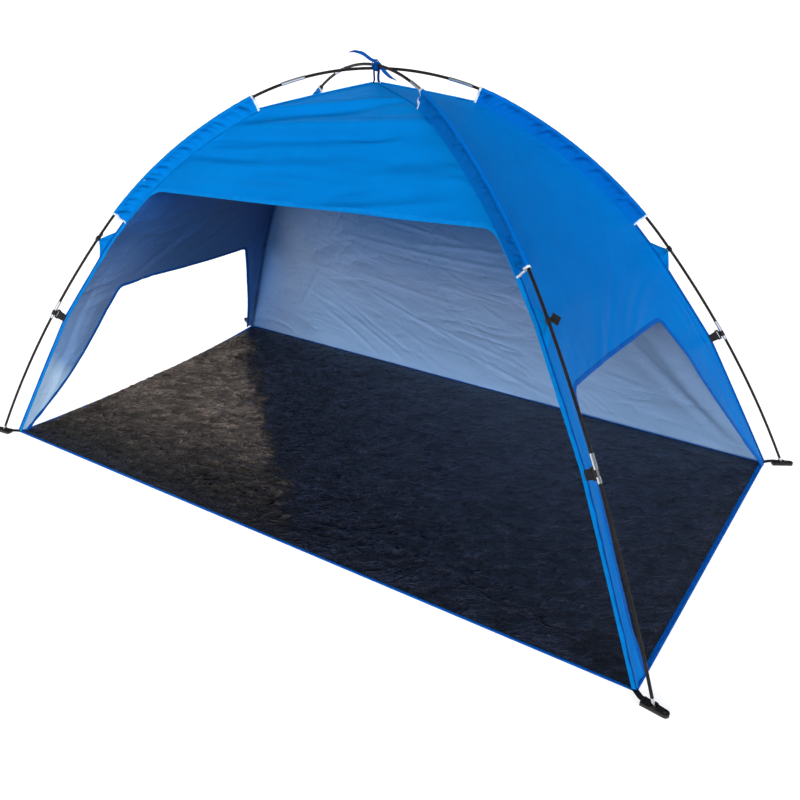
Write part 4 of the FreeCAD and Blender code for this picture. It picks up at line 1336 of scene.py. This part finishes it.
def clip_webbings():
    """Black straps, sewn to the ridge and folded through each clip's buckle."""
    lines = []
    for leg in LEGS.values():
        point, lean = leg.pole.at([CLIP_AT])
        point, lean = point[0], lean[0]
        gap = leg.gap([CLIP_AT])[0][0]
        outwards = Arch.outwards(lean)
        along = leg.space(np.array([math.cos(lean), -math.sin(lean)]))
        half = [(0.0008, gap + 0.0050), (0.0010, gap - 0.001), (0.0014, gap - 0.006),
                (0.0034, 0.0205), (0.0038, 0.0150), (0.0022, 0.0128)]
        route = half + [(0.0, 0.0124)] + [(-side, depth) for side, depth in half[::-1]]
        points = [leg.space(point - outwards * depth, side) for side, depth in route]
        rings = strap_rings(points, [along], WEBBING)
        strap = loft("clip_webbing_" + leg.name, [rings], MATERIALS["webbing"])
        bridge(strap, leg, "clip_webbings",
               leg.space(point - outwards * (gap - 0.002)), leg.space(point - outwards * 0.0185))
        for side in (-1, 1):
            for depth in (gap - 0.0015, gap - 0.0065):
                bar = [leg.space(point - outwards * depth, side * 0.0030) + along * x
                       for x in np.linspace(-0.0105, 0.0105, 12)]
                lines.append((np.array(bar), np.broadcast_to(leg.across * side, (12, 3))))
    return lines


def foot_webbings():
    """Black straps from the floor's corners over the heels of the shoes, into their slots."""
    for leg in LEGS.values():
        turn = leg.side * SHOE_TURN if leg.name.startswith("front") else 0.0
        toe = math.cos(turn) * leg.radial + math.sin(turn) * leg.across
        slot_across = np.cross(UP, toe)
        centre = leg.foot * np.array([1, 1, 0])
        slot_top = centre - toe * SHOE_SLOT_AT
        corner = leg.radial * (RIDGE_FOOT[0] - 0.012)
        points = [corner + UP * 0.0046, corner + leg.radial * 0.008 + UP * 0.0046,
                  corner * 0.35 + (slot_top - toe * 0.010) * 0.65 + UP * 0.0085,
                  slot_top - toe * 0.0095 + UP * 0.0102, slot_top - toe * 0.003 + UP * 0.0104,
                  slot_top + UP * 0.0085, slot_top + UP * 0.002]
        rings = strap_rings(points, [leg.across, slot_across], FOOT_WEBBING)
        strap = loft("foot_webbing_" + leg.name, [rings], MATERIALS["webbing"])
        bridge(strap, leg, "foot_webbings",
               corner + leg.radial * 0.010, slot_top - toe * 0.010)


# ---------------------------------------------------------------- tie at the crossing
# The tie's wraps round the poles, as turns in degrees and how far each lies outside the first.
TIE_WRAPS = ((0.0, 0.0), (34.0, 0.0012), (-30.0, 0.0022))
KNOT_PLACE = (-0.001, -0.003, 0.0125)
KNOT_TURN = 0.58


def hoop(centre, first, second):
    """A line once round a centre, from first through second and back to first."""
    angles = np.linspace(0, 2 * math.pi, 65)[:, None]
    return centre + np.cos(angles) * first + np.sin(angles) * second


def bent_tape(points, widths, size, count=60):
    """A tape along a smooth curve through a few points, its width turning with them."""
    points, widths = np.asarray(points, float), np.asarray(widths, float)
    keys = np.linspace(0, 1, len(points))
    at = np.linspace(0, 1, count)
    line = eased(between(at, keys, points), 14)
    across = between(at, keys, widths)
    run = unit(np.gradient(line, axis=0))
    across = unit(across - run * (across * run).sum(1)[:, None])
    return tape_rings(line, across, np.cross(run, across), size)


def apex_tie():
    """Blue tape tied round both poles: wraps, a flat knot, two tails and two drops."""
    crossing = (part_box("pole_a_centre_section")[1].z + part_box("pole_b_centre_section")[1].z) / 2
    crossing = np.array([0.0, 0.0, crossing - ROD_RADIUS])
    top = BACK_HIGH.z
    groups = []
    for angle, grow in TIE_WRAPS:
        turn = math.radians(angle)
        along = np.array([math.cos(turn), math.sin(turn), 0.0])
        side = np.array([-math.sin(turn), math.cos(turn), 0.0])
        half = 0.0082 + grow
        path = hoop(crossing, side * (half + 0.0012 * abs(angle) / 30), UP * (0.0094 + grow))
        widths = np.broadcast_to(along, path.shape)
        groups.append(tape_rings(path, widths, unit(path - crossing), TIE_TAPE))
    knot = crossing + np.array(KNOT_PLACE)
    across = np.array([math.cos(KNOT_TURN), math.sin(KNOT_TURN), 0.0])
    over = np.array([-across[1], across[0], 0.0])

    def near_knot(*offsets):
        return [knot + across * a + over * o + UP * u for a, o, u in offsets]

    wrap = near_knot((0, 0.010, -0.004), (0, 0.006, 0.0035), (0, -0.006, 0.0035), (0, -0.010, -0.004))
    groups.append(bent_tape(wrap, [across] * 4, (0.008, 0.0012)))
    wrap = near_knot((-0.009, 0, -0.002), (-0.004, 0, 0.0052), (0.005, 0, 0.0050), (0.010, 0, -0.001))
    groups.append(bent_tape(wrap, [over + UP * 0.3] * 4, (0.009, 0.0012)))
    left = near_knot((0.004, 0, 0), (-0.012, 0, 0.006), (-0.034, 0, 0.022), (-0.056, 0, 0.0275),
                     (-0.073, 0, 0.0245))
    left_width = [over + UP * 0.4, over * 0.6 + UP, over * 0.5 + UP, over + UP * 0.6, over]
    groups.append(bent_tape(left, left_width, TIE_TAPE))
    right = near_knot((-0.004, 0, 0.001), (0.010, -0.010, -0.003), (0.024, -0.022, -0.022),
                      (0.040, -0.028, -0.036), (0.058, -0.030, -0.045))
    right_width = [over, over * 0.7 + UP * 0.7, across * 0.8 + UP * 0.3, over * 0.5 + across, over]
    groups.append(bent_tape(right, right_width, TIE_TAPE))
    for side in (-1, 1):
        drop = [(side * 0.0072, 0.0, crossing[2] + 0.004),
                (side * 0.0078, 0.0006 * side, crossing[2] - 0.012),
                (side * 0.0070, -0.0010, (crossing[2] + top) / 2), (side * 0.0064, 0.0, top + 0.004),
                (side * 0.0100, 0.0, top - 0.0004)]
        groups.append(bent_tape(drop, [(0.12 * side, 1.0, 0.0)] * 5, TIE_TAPE, 40))
    settle_piece(loft("apex_tie_tape", groups, MATERIALS["tie_blue"]), "tie_tape", "apex_tie")


# ---------------------------------------------------------------- finishes of the CAD's own pieces
MOULDED_EDGE = 0.00035


def finish_frame():
    """Materials for the rods, ferrules and moulded fittings, with softened moulded edges."""
    finishes = {"pole_rod": "rod", "ferrule_steel": "steel", "fitting_plastic": "plastic",
                "shock_cord": "webbing"}
    for name, piece in frame["nodes"].items():
        for place in piece.material_slots:
            slot_name = place.material.name.split(".")[0] if place.material else ""
            if slot_name in finishes:
                place.material = MATERIALS[finishes[slot_name]]
        if name.startswith(("upper_hook", "lower_clip", "pole_shoe")):
            weld = piece.modifiers.new("join faces", "WELD")
            weld.merge_threshold = 1e-6
            edge = piece.modifiers.new("moulded edges", "BEVEL")
            edge.width = MOULDED_EDGE
            edge.segments = 2
            edge.limit_method = "ANGLE"
            edge.angle_limit = math.radians(40)
            edge.harden_normals = True


# ---------------------------------------------------------------- stage, light and camera
BACKDROP_RADIUS = 50.0
STAGE_FLOOR_REACH = 60.0
STAGE_FLOOR_LEVEL = -0.0005
CAMERA_PLACE = (1.4477, -2.1027, 1.4385)
CAMERA_TURN = (math.radians(90 - 26.377), 0.0, math.radians(33.514))
CAMERA_LENS = 39.32
CAMERA_SHIFT = (0.0086, 0.001)
# Soft lights: the way to each, its spread in degrees, strength and colour.
SUNS = {
    "front_softbox": ((0.04, -0.96, 0.24), 30.0, 4.1, (1.0, 0.99, 0.97)),
    "right_softbox": ((0.93, -0.22, 0.26), 34.0, 3.5, (0.85, 0.95, 1.10)),
    "back_left_softbox": ((-0.66, 0.54, 0.52), 22.0, 2.9, (1.0, 0.98, 0.95)),
}


def soft_sun(name, towards, spread, strength, colour):
    """A distant soft light, left out of reflections so that it gives no glare at low angles."""
    data = bpy.data.lights.new(name, "SUN")
    data.angle = math.radians(spread)
    data.energy = strength
    data.color = colour
    lamp = bpy.data.objects.new(name, data)
    lamp.rotation_euler = Vector(towards).to_track_quat("Z", "Y").to_euler()
    lamp.visible_glossy = False
    bpy.context.scene.collection.objects.link(lamp)


def studio_world():
    """Pale walls all round, brightest in front of the entrance, dim overhead and dimmer below."""
    world = bpy.data.worlds.new("studio")
    world.use_nodes = True
    tree = world.node_tree
    direction = node(tree, "TexCoord").outputs["Generated"]
    _, y, z = node(tree, "SeparateXYZ", {"Vector": direction}).outputs
    front = ranged(tree, y, 0.22, 0.30, 0.3, -1.0)
    overhead = ranged(tree, z, 1.0, 0.65, 0.2, 1.0)
    below = ranged(tree, z, 0.45, 1.0, -0.12, 0.04)
    level = node(tree, "Math", {0: front, 1: overhead}, operation="MULTIPLY").outputs["Value"]
    strength = node(tree, "Math", {0: level, 1: below}, operation="MULTIPLY").outputs["Value"]
    background = tree.nodes["Background"]
    background.inputs["Color"].default_value = (0.86, 0.94, 1.0, 1.0)
    tree.links.new(strength, background.inputs["Strength"])
    bpy.context.scene.world = world


def backdrop():
    """A pale dome that only the camera sees, so that no horizon shows behind the shelter."""
    finish = Finish("pale_backdrop", 1.0, Specular_IOR_Level=0.0, Emission_Color=WHITE)
    finish.set("Base Color", (0.0, 0.0, 0.0, 1.0))
    finish.set("Emission Strength", finish.range(finish.noise(0.05, 1.0), 0.99, 1.01))
    around = np.linspace(0, 2 * math.pi, 49)[:-1]
    rings = []
    for lift in np.linspace(0, math.pi / 2 - 0.01, 13):
        rings.append(np.stack([np.cos(around) * math.cos(lift), np.sin(around) * math.cos(lift),
                               np.full(48, math.sin(lift))], axis=1) * BACKDROP_RADIUS)
    points, faces, _ = loft_parts(np.array(rings))
    dome = make("stage_backdrop", points, faces[:-2] + faces[-1:], finish.material)
    for rays in ("diffuse", "glossy", "transmission", "volume_scatter", "shadow"):
        setattr(dome, "visible_" + rays, False)


def stage():
    """The pale floor, the backdrop and the lights."""
    floor_finish = Finish("pale_floor", 0.85, Specular_IOR_Level=0.1,
                          Emission_Color=(1.0, 0.99, 0.97, 1.0), Emission_Strength=0.74)
    floor_finish.set("Base Color", floor_finish.ramp(floor_finish.noise(0.8, 2.0), [
        (0.3, (0.44, 0.44, 0.44)), (0.7, (0.46, 0.46, 0.46))]))
    corners = [(x * STAGE_FLOOR_REACH, y * STAGE_FLOOR_REACH, STAGE_FLOOR_LEVEL)
               for x, y in ((-1, -1), (1, -1), (1, 1), (-1, 1))]
    ground = make("stage_floor", corners, [(0, 1, 2, 3)], floor_finish.material)
    ground.visible_diffuse = False
    backdrop()
    studio_world()
    for name, settings in SUNS.items():
        soft_sun(name, *settings)
    bpy.context.scene.view_settings.view_transform = "Standard"


def camera():
    data = bpy.data.cameras.new("camera")
    data.lens = CAMERA_LENS
    data.sensor_width = 36.0
    data.shift_x, data.shift_y = CAMERA_SHIFT
    made = bpy.data.objects.new("camera", data)
    made.location = CAMERA_PLACE
    made.rotation_euler = Euler(CAMERA_TURN)
    bpy.context.scene.collection.objects.link(made)
    bpy.context.scene.camera = made


def main():
    camera()
    thread_lines = canopy()
    thread_lines += floor()
    thread_lines += sleeves()
    ridge_seams()
    settle_piece(stitches("blue_stitching", thread_lines, MATERIALS["blue_thread"]), "binding_tape")
    hook_gussets()
    webbing_lines = clip_webbings()
    settle_piece(stitches("webbing_stitching", webbing_lines, MATERIALS["black_thread"]), "webbing")
    foot_webbings()
    apex_tie()
    finish_frame()
    stage()


main()
